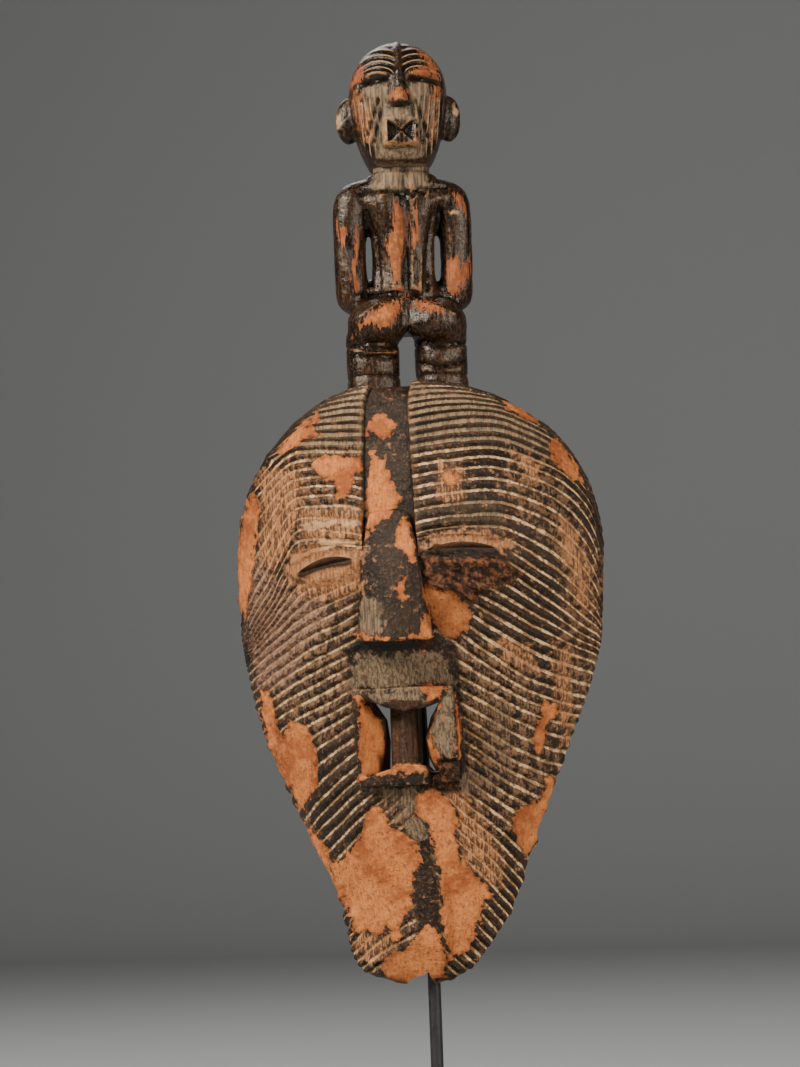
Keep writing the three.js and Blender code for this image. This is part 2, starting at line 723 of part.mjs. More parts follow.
// Slit of an eye, which slopes down towards the back so that no light shows through it from the front
function eyeSlit({ inner, outer, open }) {
  const upper = [];
  const lower = [];
  const steps = 6;
  for (let i = 0; i <= steps; i += 1) {
    const share = i / steps;
    const x = inner[0] + (outer[0] - inner[0]) * share;
    const z = inner[1] + (outer[1] - inner[1]) * share + 2.5 * Math.sin(Math.PI * share);
    const half = open * Math.sin(Math.PI * share) ** 0.6;
    upper.push([x, z + half]);
    if (i > 0 && i < steps) {
      lower.unshift([x, z - half]);
    }
  }
  return loft([EYE_CUT_FRONT, EYE_CUT_BACK].map((y) => [...upper, ...lower].map(
    ([x, z]) => new THREE.Vector3(x, y, z + EYE_SLOPE * (skinPoint(x, z).y - y)),
  )));
}

// The standing figure, its back towards the viewer
function legSolid(side) {
  const x = side * LEG.x;
  return loft([
    levelRing(LEG.half, LEG.depth, FIGURE_BASE, x, 0, 2.6),
    levelRing(LEG.half, LEG.depth, 436, x, 0, 2.6),
    levelRing(LEG.half - 1, LEG.depth - 1, 438, x, 0, 2.6),
    levelRing(LEG.half + 0.5, LEG.depth, LEG.top, x, 0, 2.4),
  ]);
}

function torsoSolid() {
  return loft(TORSO_RINGS.map(({ z, rx, ry, y }) => levelRing(rx, ry, z, 0, y, 2.4)));
}

// Furrow down the spine and the hollow between the buttocks
function spineCut() {
  return limb(SPINE_PATH, SPINE_RADII, 6);
}

function bodySolid() {
  let body = torsoSolid();
  body = body.add(loft([
    levelRing(NECK.radius + 2, NECK.radius - 1, NECK.bottom),
    levelRing(NECK.radius, NECK.radius, NECK.top),
  ]));
  for (const side of [-1, 1]) {
    const { x, y, z, rx, ry, rz } = BUTTOCK;
    body = body.add(ellipsoid(side * x, y, z, rx, ry, rz));
    body = body.add(legSolid(side));
    body = body.add(limb(ARM_PATH.map(([px, py, pz]) => [side * px, py, pz]), ARM_RADII));
  }
  body = body.add(ellipsoid(0, BELLY.y, BELLY.z, BELLY.rx, BELLY.ry, BELLY.rz));
  body = body.add(ellipsoid(0, NAVEL.y, NAVEL.z, NAVEL.radius, NAVEL.out, NAVEL.radius));
  return body.subtract(spineCut());
}

// One face of the small head; the far one is the same, turned about
function smallFaceParts() {
  const { top, base, half, out } = SMALL_NOSE;
  const skin = SMALL_SKIN;
  const nose = loft([
    [[-1.5, skin + 8], [1.5, skin + 8], [0, skin - 1]].map(([x, y]) => new THREE.Vector3(x, y, top)),
    [[-half, skin + 8], [half, skin + 8], [0, skin - out]].map(
      ([x, y]) => new THREE.Vector3(x, y, base),
    ),
  ]);
  const lips = [[-1, 1], [1, 1], [1, -1], [-1, -1]];
  const middle = (SMALL_MOUTH.top + SMALL_MOUTH.bottom) / 2;
  const tall = (SMALL_MOUTH.top - SMALL_MOUTH.bottom) / 2;
  const ring = (scale, y) => lips.map(
    ([x, z]) => new THREE.Vector3(x * SMALL_MOUTH.half * scale, y, middle + z * tall * scale),
  );
  const frame = loft([ring(1.1, skin + 14), ring(1, skin - SMALL_MOUTH.out)]);
  const lip = skin - SMALL_MOUTH.out;
  const pit = loft([ring(0.62, lip - 1), ring(0.5, lip + SMALL_MOUTH.groove)]);
  return { nose, frame, pit };
}

function smallEyeCut(side) {
  const { x, z, half, rise, cut } = SMALL_EYE;
  const outline = [];
  const sides = 8;
  for (let i = 0; i < sides; i += 1) {
    const angle = 2 * Math.PI * i / sides;
    outline.push([side * x + half * Math.cos(angle), z + rise * Math.sin(angle)]);
  }
  return prismThrough(outline, SMALL_SKIN - 20, SMALL_SKIN + 1 + cut);
}

function headSolid() {
  let head = loft(HEAD_RINGS.map(({ z, rx, ry }) => levelRing(rx, ry, z, 0, 0, HEAD_POWER, 18)));
  const { nose, frame, pit } = smallFaceParts();
  const turned = (solid) => solid.rotate([0, 0, 180]);
  head = head.add(nose).add(frame).add(turned(nose)).add(turned(frame));
  head = head.subtract(pit).subtract(turned(pit));
  for (const side of [-1, 1]) {
    const eye = smallEyeCut(side);
    head = head.subtract(eye).subtract(turned(eye));
    head = head.add(ellipsoid(side * EAR.x, 0, EAR.z, EAR.reach, EAR.thickness, EAR.height));
  }
  return head;
}

function figureSolid() {
  const body = bodySolid().rotate([0, 0, BODY_TURN]);
  const head = headSolid().rotate([0, 0, HEAD_TURN]);
  return body.add(head).translate([FIGURE_AT[0], FIGURE_AT[1], 0]);
}

// Hole for the rod's tip in the thick crown
function rodSocket() {
  const geometry = new THREE.CylinderGeometry(
    ROD_DIAMETER / 2 + GAP, ROD_DIAMETER / 2 + GAP, ROD_SOCKET_LENGTH, BORE_SIDES,
  );
  geometry.rotateX(Math.PI / 2);
  geometry.translate(0, -ROD_TIP_FORWARD, ROD_TIP_HEIGHT + GAP - ROD_SOCKET_LENGTH / 2);
  return solidFromGeometry(geometry);
}

function maskSolid() {
  let mask = hollowBlock();
  mask = mask.add(noseSolid());
  mask = mask.add(mouthFrame());
  mask = mask.subtract(mouthOpening());
  mask = mask.add(mouthBar());
  mask = mask.subtract(eyeSlit(EYE_LEFT)).subtract(eyeSlit(EYE_RIGHT));
  mask = mask.add(figureSolid());
  return mask.subtract(rodSocket());
}

function rodGeometry() {
  const low = FOOT_THICKNESS - ROD_IN_FOOT - CHIN_HEIGHT;
  const path = new THREE.CatmullRomCurve3([
    new THREE.Vector3(0, 0, low),
    new THREE.Vector3(0, 0, low + 60),
    new THREE.Vector3(0, 0, 20),
    new THREE.Vector3(0, -3, 90),
    new THREE.Vector3(0, -ROD_TIP_FORWARD + 4, 330),
    new THREE.Vector3(0, -ROD_TIP_FORWARD, 380),
    new THREE.Vector3(0, -ROD_TIP_FORWARD, ROD_TIP_HEIGHT),
  ], false, 'centripetal');
  const round = new THREE.Shape();
  round.absarc(0, 0, ROD_DIAMETER / 2, 0, 2 * Math.PI, false);
  return new THREE.ExtrudeGeometry(round, {
    steps: ROD_STEPS,
    curveSegments: ROD_SIDES / 2,
    extrudePath: path,
  });
}

function footGeometry() {
  const half = FOOT_SIDE / 2;
  const square = (side, z) => [[-1, -1], [1, -1], [1, 1], [-1, 1]].map(
    ([x, y]) => new THREE.Vector3(x * side, y * side, z),
  );
  const plate = loft([
    square(half, 0),
    square(half, FOOT_THICKNESS - FOOT_BEVEL),
    square(half - FOOT_BEVEL, FOOT_THICKNESS),
  ]);
  const boreLength = 2 * FOOT_THICKNESS;
  const boreRadius = ROD_DIAMETER / 2 + GAP;
  const bore = new THREE.CylinderGeometry(boreRadius, boreRadius, boreLength, BORE_SIDES);
  bore.rotateX(Math.PI / 2);
  bore.translate(0, 0, FOOT_THICKNESS - ROD_IN_FOOT - GAP + boreLength / 2);
  return geometryFromSolid(plate.subtract(solidFromGeometry(bore)));
}

const group = new THREE.Group();

const raised = new THREE.Group();
raised.position.z = CHIN_HEIGHT;
group.add(raised);

const woodMaterial = new THREE.MeshStandardMaterial({ color: 0x5a3a26, roughness: 0.6, metalness: 0 });
const mask = new THREE.Mesh(geometryFromSolid(maskSolid()), woodMaterial);
mask.name = 'mask';
raised.add(mask);

const rodMaterial = new THREE.MeshStandardMaterial({ color: 0x141414, roughness: 0.45, metalness: 0.6 });
const rod = new THREE.Mesh(rodGeometry(), rodMaterial);
rod.name = 'stand_rod';
raised.add(rod);

const footMaterial = new THREE.MeshStandardMaterial({ color: 0x161616, roughness: 0.5, metalness: 0.6 });
const foot = new THREE.Mesh(footGeometry(), footMaterial);
foot.name = 'stand_foot';
group.add(foot);

export default group;
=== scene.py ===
import math

import bpy
import numpy as np
from mathutils import Matrix, Vector
from mathutils.kdtree import KDTree


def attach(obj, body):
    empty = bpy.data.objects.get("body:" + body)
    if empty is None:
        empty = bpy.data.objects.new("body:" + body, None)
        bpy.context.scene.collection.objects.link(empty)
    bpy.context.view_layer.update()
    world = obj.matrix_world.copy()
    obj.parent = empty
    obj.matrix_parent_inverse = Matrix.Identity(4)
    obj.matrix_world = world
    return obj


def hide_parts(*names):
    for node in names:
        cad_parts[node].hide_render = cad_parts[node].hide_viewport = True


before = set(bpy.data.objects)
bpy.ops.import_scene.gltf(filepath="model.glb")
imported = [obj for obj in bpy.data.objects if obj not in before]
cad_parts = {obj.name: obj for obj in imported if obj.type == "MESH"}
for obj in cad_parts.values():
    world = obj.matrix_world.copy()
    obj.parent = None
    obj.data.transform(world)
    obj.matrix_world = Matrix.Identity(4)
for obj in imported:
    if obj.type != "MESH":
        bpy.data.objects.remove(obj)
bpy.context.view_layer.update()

# The place the mask is looked at from.
# A long lens a little below the middle of the mask, 13 degrees round to its left, with a slight tilt.
# Patches of wear are given below as they are seen from here, in pixels of a picture 800 wide and 1067 high.
MM = 0.001
PICTURE_WIDTH, PICTURE_HEIGHT = 800, 1067
VIEW_ROUND, VIEW_UP, VIEW_TILT = math.radians(13), math.radians(-5.5), math.radians(2.1)
VIEW_DISTANCE = 2100
MM_PER_PIXEL = 0.715
AIM = np.array([-12.8, 0, 449])
FOCAL = VIEW_DISTANCE / MM_PER_PIXEL

view_back = np.array([
    math.sin(VIEW_ROUND) * math.cos(VIEW_UP),
    -math.cos(VIEW_ROUND) * math.cos(VIEW_UP),
    math.sin(VIEW_UP),
])
level = np.array([math.cos(VIEW_ROUND), math.sin(VIEW_ROUND), 0])
plumb = np.cross(view_back, level)
view_right = level * math.cos(VIEW_TILT) - plumb * math.sin(VIEW_TILT)
view_up = plumb * math.cos(VIEW_TILT) + level * math.sin(VIEW_TILT)
eye = AIM + view_back * VIEW_DISTANCE


def pixels(places):
    """Where places in millimetres, on the floor's own height scale, are seen in the picture."""
    away = places - eye
    depth = -away @ view_back
    across = PICTURE_WIDTH / 2 + FOCAL * (away @ view_right) / depth
    down = PICTURE_HEIGHT / 2 - FOCAL * (away @ view_up) / depth
    return across, down


camera = bpy.data.objects.new("camera", bpy.data.cameras.new("camera"))
camera.data.sensor_width = 36
camera.data.lens = camera.data.sensor_width * FOCAL / PICTURE_HEIGHT
turn = Matrix((view_right, view_up, view_back)).transposed().to_4x4()
camera.matrix_world = Matrix.Translation(Vector(eye * MM)) @ turn
bpy.context.scene.collection.objects.link(camera)
bpy.context.scene.camera = camera

# The face of the mask: one block of red-brown hardwood, hollowed from behind.
# Its skin is laid out row by row along the carved stripes, so that each stripe keeps a clean edge.
# Heights are in millimetres above the chin, which stands CHIN_HEIGHT above the floor.
CHIN_HEIGHT = 130
WIDEST_HEIGHT = 290
DOME_TOP = 418.5
HALF_WIDTH = 133
DOME_POWER_LEFT, DOME_POWER_RIGHT = 2.0, 2.35
DOME_CORNER = 25
CROWN_BACK, CROWN_BACK_HALF = 18, 105
CHIN_RIM_FORWARD, CHIN_RIM_REACH = 7, 120
WALL, RIM_WALL, CROWN_WALL = 14, 10, 26
OUTLINE_HEIGHTS = [0, 9, 28, 51, 93, 140, 190, 240, 290]
OUTLINE_LEFT = [16, 47, 58, 61, 80, 102, 120, 129.5, 133]
OUTLINE_RIGHT = [2, 26, 43, 58, 74, 93, 114, 129.5, 133]
PROFILE_HEIGHTS = [0, 20, 50, 90, 130, 170, 205, 240, 290, 340, 426]
PROFILE_DEPTHS = [13, 17, 24, 34, 45, 53, 61, 73, 88, 91, 86]

# Key stripes of each cheek: number from the crown down, then heights at angles from the middle to the rim
STATIONS = [0, 15, 30, 50, 70, 90]
STRIPES_RIGHT = [
    [0, 505, 505, 504, 501, 497, 494],
    [5, 456, 457, 457, 450, 440, 431],
    [10.5, 410, 413, 414, 406, 390, 366],
    [15.7, 380, 386, 388, 377, 354, 322],
    [20, 353, 359, 361, 351, 330, 292],
    [24, 321, 328, 330, 319, 294, 262],
    [26, 305, 312, 314, 299, 274, 250],
    [30, 296, 296, 288, 264, 244, 236],
    [34, 284, 275, 255, 233, 223, 219],
    [37.4, 262, 248, 225, 203, 195, 193],
    [39.7, 242, 223, 205, 187, 180, 178],
    [42.9, 214, 196, 179, 160, 152, 150],
    [47.1, 182, 164, 147, 129, 119, 115],
    [51, 154, 138, 118, 100, 84, 76],
    [57, 100, 86, 74, 58, 46, 40],
    [63, 38, 30, 24, 16, 11, 9],
    [66, 9, 6, 4, 2, 1, 0.5],
]
STRIPES_LEFT = [
    [0, 505, 505, 504, 501, 497, 494],
    [5, 456, 457, 456, 448, 438, 430],
    [10.5, 410, 412, 410, 398, 384, 366],
    [15.7, 380, 384, 385, 370, 350, 326],
    [20, 353, 358, 360, 342, 318, 298],
    [24, 321, 332, 334, 302, 278, 260],
    [26, 305, 314, 318, 284, 262, 246],
    [30, 296, 296, 290, 262, 244, 234],
    [34, 284, 270, 260, 243, 232, 227],
    [38, 257, 240, 229, 216, 206, 202],
    [42, 222, 209, 198, 187, 177, 172],
    [45, 199, 187, 175, 161, 150, 145],
    [48, 176, 163, 149, 133, 120, 114],
    [50.4, 158, 143, 130, 115, 105, 101],
    [57, 100, 88, 78, 63, 51, 46],
    [63, 38, 33, 28, 20, 14, 12],
    [66, 9, 7, 6, 4, 2, 0.5],
]
LAST_STRIPE = 66
JUST_INSIDE = 0.9995
ROWS_IN_STRIPE = [0, 0.13, 0.25, 0.5, 0.75, 0.87]
CHEEK_COLUMNS = 44
KEEL_COLUMNS, KEEL_EDGE_COLUMNS = [0.3, 0.62, 0.9, 1], [0.5, 1]
KEEL_HEIGHTS, KEEL_HALF_WIDTHS = [306, 380, 415], [18, 16, 14.5]
KEEL_RISE, KEEL_EDGE, KEEL_SHARE = 3, 1.5, 0.25
EYE_SOCKET_X, EYE_SOCKET_HALF, EYE_SOCKET_RISE, EYE_SOCKET_SINK = 49, 33, 15, 3
EYE_LEVEL_LEFT, EYE_LEVEL_RIGHT = 291.5, 296.5

# Parts of the face without stripes, under the keel: middle, half width, where it has faded out, foot, top
PLAIN_KEEL_FADE, PLAIN_KEEL_FOOT = 2.5, (286, 296)
PLAIN_STRIPS = [
    (0, 24, 28, (228, 234), 296),
    (0, 38, 41, (130, 136), 234),
    (3, 7, 10, (-12, -6), 134),
]
# No stripe runs quite true: how far it strays, over which lengths, and where the hand is steady
STRAY, STRAY_LENGTH = 1.1, 34
SHAKE, SHAKE_LENGTH = 0.55, 11
# The stripes: the share of each that is ridge, wider on the forehead, and how deep the groove beside it goes
RIDGE_SHARE, FOREHEAD_RIDGE_SHARE, UNEVEN_RIDGE_SHARE = 0.24, 0.34, 0.09
FOREHEAD_FROM, FOREHEAD_TO = 345, 405
GROOVE_DEPTH, GROOVE_LOST_CHIPPED, GROOVE_LOST_WORN = 1.7, 0.85, 0.55
GROOVE_UNEVEN, GROOVE_UNEVEN_LENGTH = 0.25, 12
# Marks of the knife in the stripes: how high, how stretched, how long
TOOL_CUTS = [(0.26, [1, 1, 0.35], 5), (0.16, [1.4, 1, 0.5], 3)]
# The eyes: inner end and outer end of each slit, across and up, and half its height; then the arch of both
EYES = [((-27, 294), (-70, 287.5), 3.2), ((25, 297), (71, 297.5), 2.6)]
EYE_ARCH = 2.5
# The folds round a slit: how far each stands out, how far over the slit it lies, and how wide it is
LID_FOLDS = [(1.7, 4.5, 4), (-1.6, 9.5, 1.3), (1.2, 13, 2.5), (1.0, -6, 3)]
# Painted shade along the eye slits: how far under the middle of a slit it is darkest, and how wide it spreads
SLIT_SHADE_UNDER, SLIT_SHADE_WIDTH = 1, 3.4
# Wear in millimetres: chips where the wood is bare, rot, worm channels, knocked ridges and the ragged rim
CHIP_DEPTH, CHIP_UNEVEN, CHIP_EDGE, CHIP_TORN, CHIP_TORN_LENGTH = 0.8, 0.5, (-0.4, 1.2), 1.4, 7
WORN_EDGE = (-1, 4)
ROT_DEPTH, ROT_LUMPS, ROT_CRUMBS, ROT_EDGE, ROT_TORN, ROT_TORN_LENGTH = 3.4, 3.6, 1.9, (0, 4), 2, 8
CHANNEL_DEPTH, CHANNEL_WIDTH = 3.4, 1.8
KNOCK_DEPTH, KNOCK_LENGTH, KNOCK_RARE, KNOCK_NEAR_RIDGE = 0.7, 8, (0.35, 0.6), 0.14
RIM_FROM, RIM_RELIEF_SHARE = 0.999, 0.25
RIM_LUMPS, RIM_CRUMBS, RIM_ROUGH_BELOW = 0.9, 0.6, 260
NICK_SHARE = 0.8

# Outlines of wear, as it is seen in the picture
# Bare: paint and skin gone, down to orange wood
BARE = [
    # Keel of the forehead
    [(364, 438), (366, 426), (372, 418), (377, 411), (382, 414), (388, 418), (397, 423), (398, 427), (393, 434),
     (387, 438), (380, 438), (374, 434)],
    [(369, 453), (376, 450), (381, 460), (389, 470), (392, 482), (401, 496), (402, 501), (393, 508), (388, 517),
     (379, 524), (369, 534), (364, 541), (366, 500), (368, 475)],
    [(403, 516), (408, 517), (410, 526), (413, 540), (415, 562), (411, 567), (406, 556), (399, 548), (395, 536),
     (397, 526)],
    # Left of the forehead, and its rim
    [(309, 467), (313, 460), (330, 454), (345, 456), (362, 458), (363, 471), (354, 474), (352, 485), (346, 498),
     (337, 499), (335, 484), (330, 478), (320, 478), (314, 471)],
    [(275, 455), (284, 441), (296, 431), (303, 422), (318, 413), (320, 419), (309, 427), (322, 434), (302, 440),
     (299, 447), (284, 454)],
    [(254, 489), (258, 499), (261, 508), (259, 522), (256, 540), (254, 560), (252, 586), (249, 604), (245, 622),
     (238, 600), (236, 556), (240, 530), (245, 505)],
    # Right of the forehead
    [(500, 400), (512, 403), (524, 408), (536, 418), (541, 424), (530, 422), (519, 416), (508, 410)],
    [(548, 440), (559, 441), (570, 454), (579, 470), (583, 482), (572, 480), (562, 470), (552, 455)],
    [(442, 473), (452, 470), (459, 476), (455, 484), (446, 486)],
    # Beside and on the nose
    [(421, 582), (443, 591), (452, 588), (466, 602), (472, 612), (468, 630), (455, 640), (440, 634), (430, 615),
     (424, 600)],
    [(399, 572), (406, 574), (408, 596), (402, 606), (396, 596)],
    [(424, 612), (429, 618), (433, 640), (432, 650), (420, 650), (419, 634)],
    [(355, 634), (368, 635), (390, 637), (431, 633), (431, 638), (390, 640), (355, 639)],
    # Mouth
    [(357, 697), (363, 699), (385, 721), (389, 742), (384, 770), (360, 780)],
    [(421, 684), (446, 683), (443, 696), (428, 703)],
    [(440, 700), (443, 706), (434, 716), (430, 730), (434, 746), (440, 756), (446, 770), (436, 774), (430, 764),
     (424, 740)],
    [(370, 771), (408, 762), (426, 765), (427, 772), (405, 772), (375, 778)],
    [(456, 692), (461, 715), (461, 762), (457, 762)],
    # Left cheek and its rim
    [(260, 690), (268, 689), (274, 702), (278, 720), (281, 742), (275, 762), (270, 750), (265, 732),
     (261, 712)],
    [(278, 745), (286, 730), (291, 722), (301, 723), (309, 731), (315, 744), (318, 765), (318, 787), (310, 798),
     (301, 810), (294, 800), (287, 782), (277, 772), (272, 757)],
    [(300, 818), (308, 828), (320, 838), (330, 856), (337, 880), (350, 905), (348, 914), (334, 893), (322, 868),
     (312, 846), (300, 826)],
    # Chin
    [(368, 809), (377, 805), (385, 812), (391, 828), (401, 830), (411, 840), (420, 850), (422, 862), (414, 875),
     (412, 892), (414, 906), (409, 915), (401, 921), (401, 940), (392, 942), (389, 926), (378, 938), (364, 930),
     (354, 935), (351, 914), (343, 902), (332, 878), (329, 862), (343, 861), (351, 848), (361, 834)],
    [(427, 924), (416, 937), (404, 951), (390, 953), (383, 962), (383, 975), (395, 983), (420, 985), (446, 978),
     (447, 960), (445, 944), (439, 931)],
    [(415, 796), (435, 787), (447, 797), (460, 816), (455, 836), (463, 862), (483, 882), (497, 896), (485, 901),
     (480, 920), (473, 942), (470, 952), (450, 958), (445, 936), (441, 910), (441, 880), (436, 858), (431, 836),
     (426, 820), (416, 817)],
    # Right cheek and its rim
    [(511, 822), (516, 814), (522, 806), (540, 800), (548, 772), (556, 778), (550, 815), (540, 838), (533, 846),
     (526, 858), (519, 842), (513, 832)],
    [(541, 701), (556, 703), (559, 712), (549, 722), (546, 738), (540, 755), (533, 750), (535, 728),
     (541, 716)],
    # Back of the figure
    [(393, 203), (400, 205), (407, 222), (407, 240), (403, 258), (400, 280), (394, 285), (388, 262), (387, 240),
     (392, 222)],
    [(412, 205), (418, 212), (420, 228), (417, 245), (412, 250), (410, 232)],
    [(395, 286), (401, 285), (407, 294), (405, 299), (398, 292)],
    [(337, 222), (346, 226), (348, 244), (342, 248), (338, 238)],
    [(355, 225), (359, 228), (358, 262), (359, 288), (353, 292), (351, 280), (355, 255)],
    [(447, 262), (455, 256), (462, 268), (468, 256), (470, 270), (465, 282), (460, 292), (452, 296),
     (448, 280)],
    [(452, 190), (460, 196), (466, 210), (468, 218), (462, 212), (455, 200)],
    [(352, 338), (364, 318), (372, 310), (384, 303), (400, 300), (404, 308), (396, 318), (390, 328), (380, 330),
     (372, 322), (362, 328)],
    [(412, 300), (430, 301), (445, 308), (446, 314), (430, 312), (414, 308)],
    # Head of the figure
    [(391, 90), (399, 87), (407, 91), (410, 99), (390, 99)],
    [(418, 50), (428, 52), (436, 64), (440, 80), (439, 97), (431, 100), (431, 80), (427, 66)],
    [(409, 71), (420, 66), (434, 72), (433, 80), (420, 78), (410, 76)],
    [(351, 78), (360, 66), (364, 70), (362, 84), (354, 96), (350, 88)],
]
# Worn thin: tan wood with the stripes still showing
WORN = [
    [(512, 455), (528, 452), (541, 462), (538, 480), (528, 488), (522, 478), (517, 464)],
    [(440, 462), (462, 462), (466, 475), (462, 500), (440, 500), (437, 480)],
    [(558, 515), (572, 518), (582, 545), (592, 575), (592, 605), (582, 612), (572, 585), (562, 550)],
    [(428, 534), (470, 529), (500, 533), (514, 545), (505, 550), (470, 547), (430, 550)],
    [(352, 100), (360, 95), (366, 104), (372, 118), (372, 142), (366, 140), (360, 128), (356, 115)],
    [(430, 97), (436, 98), (436, 130), (431, 142), (428, 125)],
    [(300, 541), (330, 544), (361, 547), (362, 590), (345, 602), (300, 600), (284, 575), (290, 552)],
    [(258, 470), (300, 466), (304, 490), (298, 530), (285, 560), (270, 570), (258, 560), (262, 520)],
    [(300, 508), (362, 508), (362, 545), (330, 541), (300, 545)],
    [(555, 640), (572, 650), (570, 700), (575, 745), (562, 745), (555, 700)],
    [(500, 640), (530, 648), (540, 668), (520, 672), (500, 655)],
    [(443, 786), (470, 800), (500, 850), (505, 885), (490, 884), (463, 862), (457, 836), (460, 816)],
    [(270, 820), (300, 812), (318, 835), (310, 850), (290, 842)],
    [(385, 930), (400, 945), (385, 962), (362, 960), (350, 940), (366, 932)],
]
# Rotted: soft brown hollows under the right eye and at the corner of the mouth
ROTTED = [
    [(422, 555), (462, 556), (502, 557), (522, 572), (512, 583), (492, 588), (480, 596), (475, 604), (466, 602),
     (452, 588), (443, 590), (430, 582), (421, 576)],
    [(430, 766), (444, 758), (458, 768), (460, 788), (445, 792), (428, 786)],
]
# Worm channels and splits, as lines
CHANNELS = [
    [(430, 583), (448, 587)], [(453, 585), (463, 594), (475, 603)], [(481, 586), (495, 588)],
    [(434, 552), (436, 541)], [(443, 881), (446, 915), (447, 955)],
]
# Nicks of the rim: where they are seen, and how big they are in millimetres
NICKS = [
    (254, 499, 3.2), (247, 523, 3.6), (273, 459, 3), (352, 918, 4.5), (535, 842, 4), (515, 914, 4.5),
    (267, 732, 2.4), (270, 747, 2.2), (340, 898, 3.5), (372, 962, 3), (452, 980, 3), (548, 812, 3),
    (240, 600, 2.5), (262, 708, 2.5), (525, 880, 3), (302, 842, 3),
]


def through_keys(keys, values, at):
    """Smooth curve through key values that never overshoots them."""
    keys = np.asarray(keys, float)
    at = np.asarray(at, float)
    values = np.asarray(values, float)
    if values.ndim == 1:
        values = values.reshape(-1, *[1] * at.ndim)
    width = np.diff(keys).reshape(-1, *[1] * at.ndim)
    slope = np.diff(values, axis=0) / width
    before, after = width[:-1], width[1:]
    weight_a, weight_b = 2 * after + before, after + 2 * before
    same = slope[:-1] * slope[1:] > 0
    low, high = np.where(same, slope[:-1], 1), np.where(same, slope[1:], 1)
    inner = np.where(same, (weight_a + weight_b) / (weight_a / low + weight_b / high), 0)
    tangent = np.concatenate([slope[:1], inner, slope[-1:]])
    span = np.clip(np.searchsorted(keys, at, side="right") - 1, 0, len(keys) - 2)

    def pick(table, index):
        spread = np.broadcast_to(table, (len(table), *at.shape))
        return np.take_along_axis(spread, index[None], 0)[0]

    wide = pick(width, span)
    s = np.clip((at - keys[span]) / wide, 0, 1)
    rest = 1 - s
    return (
        (1 + 2 * s) * rest * rest * pick(values, span)
        + s * rest * rest * wide * pick(tangent, span)
        + s * s * (3 - 2 * s) * pick(values, span + 1)
        - s * s * rest * wide * pick(tangent, span + 1)
    )


def smooth_step(low, high, at):
    """Rises from 0 at low to 1 at high with soft ends."""
    s = np.clip((at - low) / (high - low), 0, 1)
    return s * s * (3 - 2 * s)


def bell(value, width):
    """1 at nothing, falling off softly to either side over a width."""
    return np.exp(-((value / width) ** 2))


def half_width(height, side):
    """From the middle of the face to its rim, on the left below 0 or on the right."""
    outline = OUTLINE_LEFT if side < 0 else OUTLINE_RIGHT
    return through_keys(OUTLINE_HEIGHTS, outline, height)


def profile_depth(height):
    """How far the middle of the face stands forward."""
    return through_keys(PROFILE_HEIGHTS, PROFILE_DEPTHS, height)


def cross_section(share):
    """The share of the depth that is left at a share of the way to the rim."""
    return (1 - np.minimum(1, share) ** 2) ** 0.75


def rim_forward(height):
    """How far the rim bends forward at the chin."""
    return CHIN_RIM_FORWARD * np.maximum(0, 1 - height / CHIN_RIM_REACH) ** 2


def dome_outline(x):
    """Height of the crown's outline."""
    power = np.where(x < 0, DOME_POWER_LEFT, DOME_POWER_RIGHT)
    share = np.minimum(1, np.abs(x) / HALF_WIDTH)
    return WIDEST_HEIGHT + (DOME_TOP - WIDEST_HEIGHT) * (1 - share**power) ** (1 / power)


def dome_section(x):
    """Lengths of an upright section through the dome: front, bend and top."""
    outline = dome_outline(x)
    share = np.minimum(1, np.abs(x) / HALF_WIDTH)
    depth = profile_depth(WIDEST_HEIGHT) * cross_section(share)
    rise = outline - WIDEST_HEIGHT
    bend = np.maximum(1e-6, np.minimum(DOME_CORNER, np.minimum(0.45 * depth, 0.5 * rise)))
    lean = profile_depth(DOME_TOP) / profile_depth(WIDEST_HEIGHT)
    back = CROWN_BACK * (1 - np.minimum(1, np.abs(x) / CROWN_BACK_HALF) ** 2) ** 2
    front, arc = rise - bend, bend * math.pi / 2
    top = depth * lean - bend + back
    return outline, depth, bend, front, arc, back, front + arc + top


def skin_point(x, along):
    """The skin: x across, and the length along the skin upwards from the chin."""
    x, along = np.broadcast_arrays(np.asarray(x, float), np.asarray(along, float))
    low = np.minimum(along, WIDEST_HEIGHT)
    forward = rim_forward(low)
    wide = np.where(x < 0, half_width(low, -1), half_width(low, 1))
    face_y = -forward - (profile_depth(low) - forward) * cross_section(np.abs(x) / wide)
    outline, depth, bend, front, arc, back, _ = dome_section(x)
    lean = profile_depth(np.minimum(along, DOME_TOP)) / profile_depth(WIDEST_HEIGHT)
    past = along - WIDEST_HEIGHT
    angle = np.clip((past - front) / bend, 0, math.pi / 2)
    run = np.maximum(0, past - front - arc)
    dome_y = np.minimum(back, -depth * lean + bend * (1 - np.cos(angle)) + run)
    dome_z = WIDEST_HEIGHT + np.minimum(past, front) + bend * np.sin(angle)
    dome_z = np.where(past > front + arc, outline, dome_z)
    below = along <= WIDEST_HEIGHT
    return np.stack([x, np.where(below, face_y, dome_y), np.where(below, along, dome_z)], -1)


def stripe_heights(stripes, side):
    """Heights of numbered stripes at each station of a cheek, both cheeks meeting in the middle."""
    tables = [np.array(STRIPES_LEFT, float), np.array(STRIPES_RIGHT, float)]
    own, other = tables if side < 0 else tables[::-1]
    heights = [through_keys(own[:, 0], own[:, i + 1], stripes) for i in range(len(STATIONS))]
    heights[0] = (heights[0] + through_keys(other[:, 0], other[:, 1], stripes)) / 2
    return np.array(heights)


def bisect(low, high, is_inside, steps=40):
    """The last place between low and high that is inside."""
    for _ in range(steps):
        middle = (low + high) / 2
        inside = is_inside(middle)
        low, high = np.where(inside, middle, low), np.where(inside, high, middle)
    return low


def stripe_at(heights, reach, across):
    """Height of a stripe at a distance from the middle."""
    angle = np.degrees(np.arcsin(np.minimum(1, across / reach)))
    return through_keys(STATIONS, heights, angle)


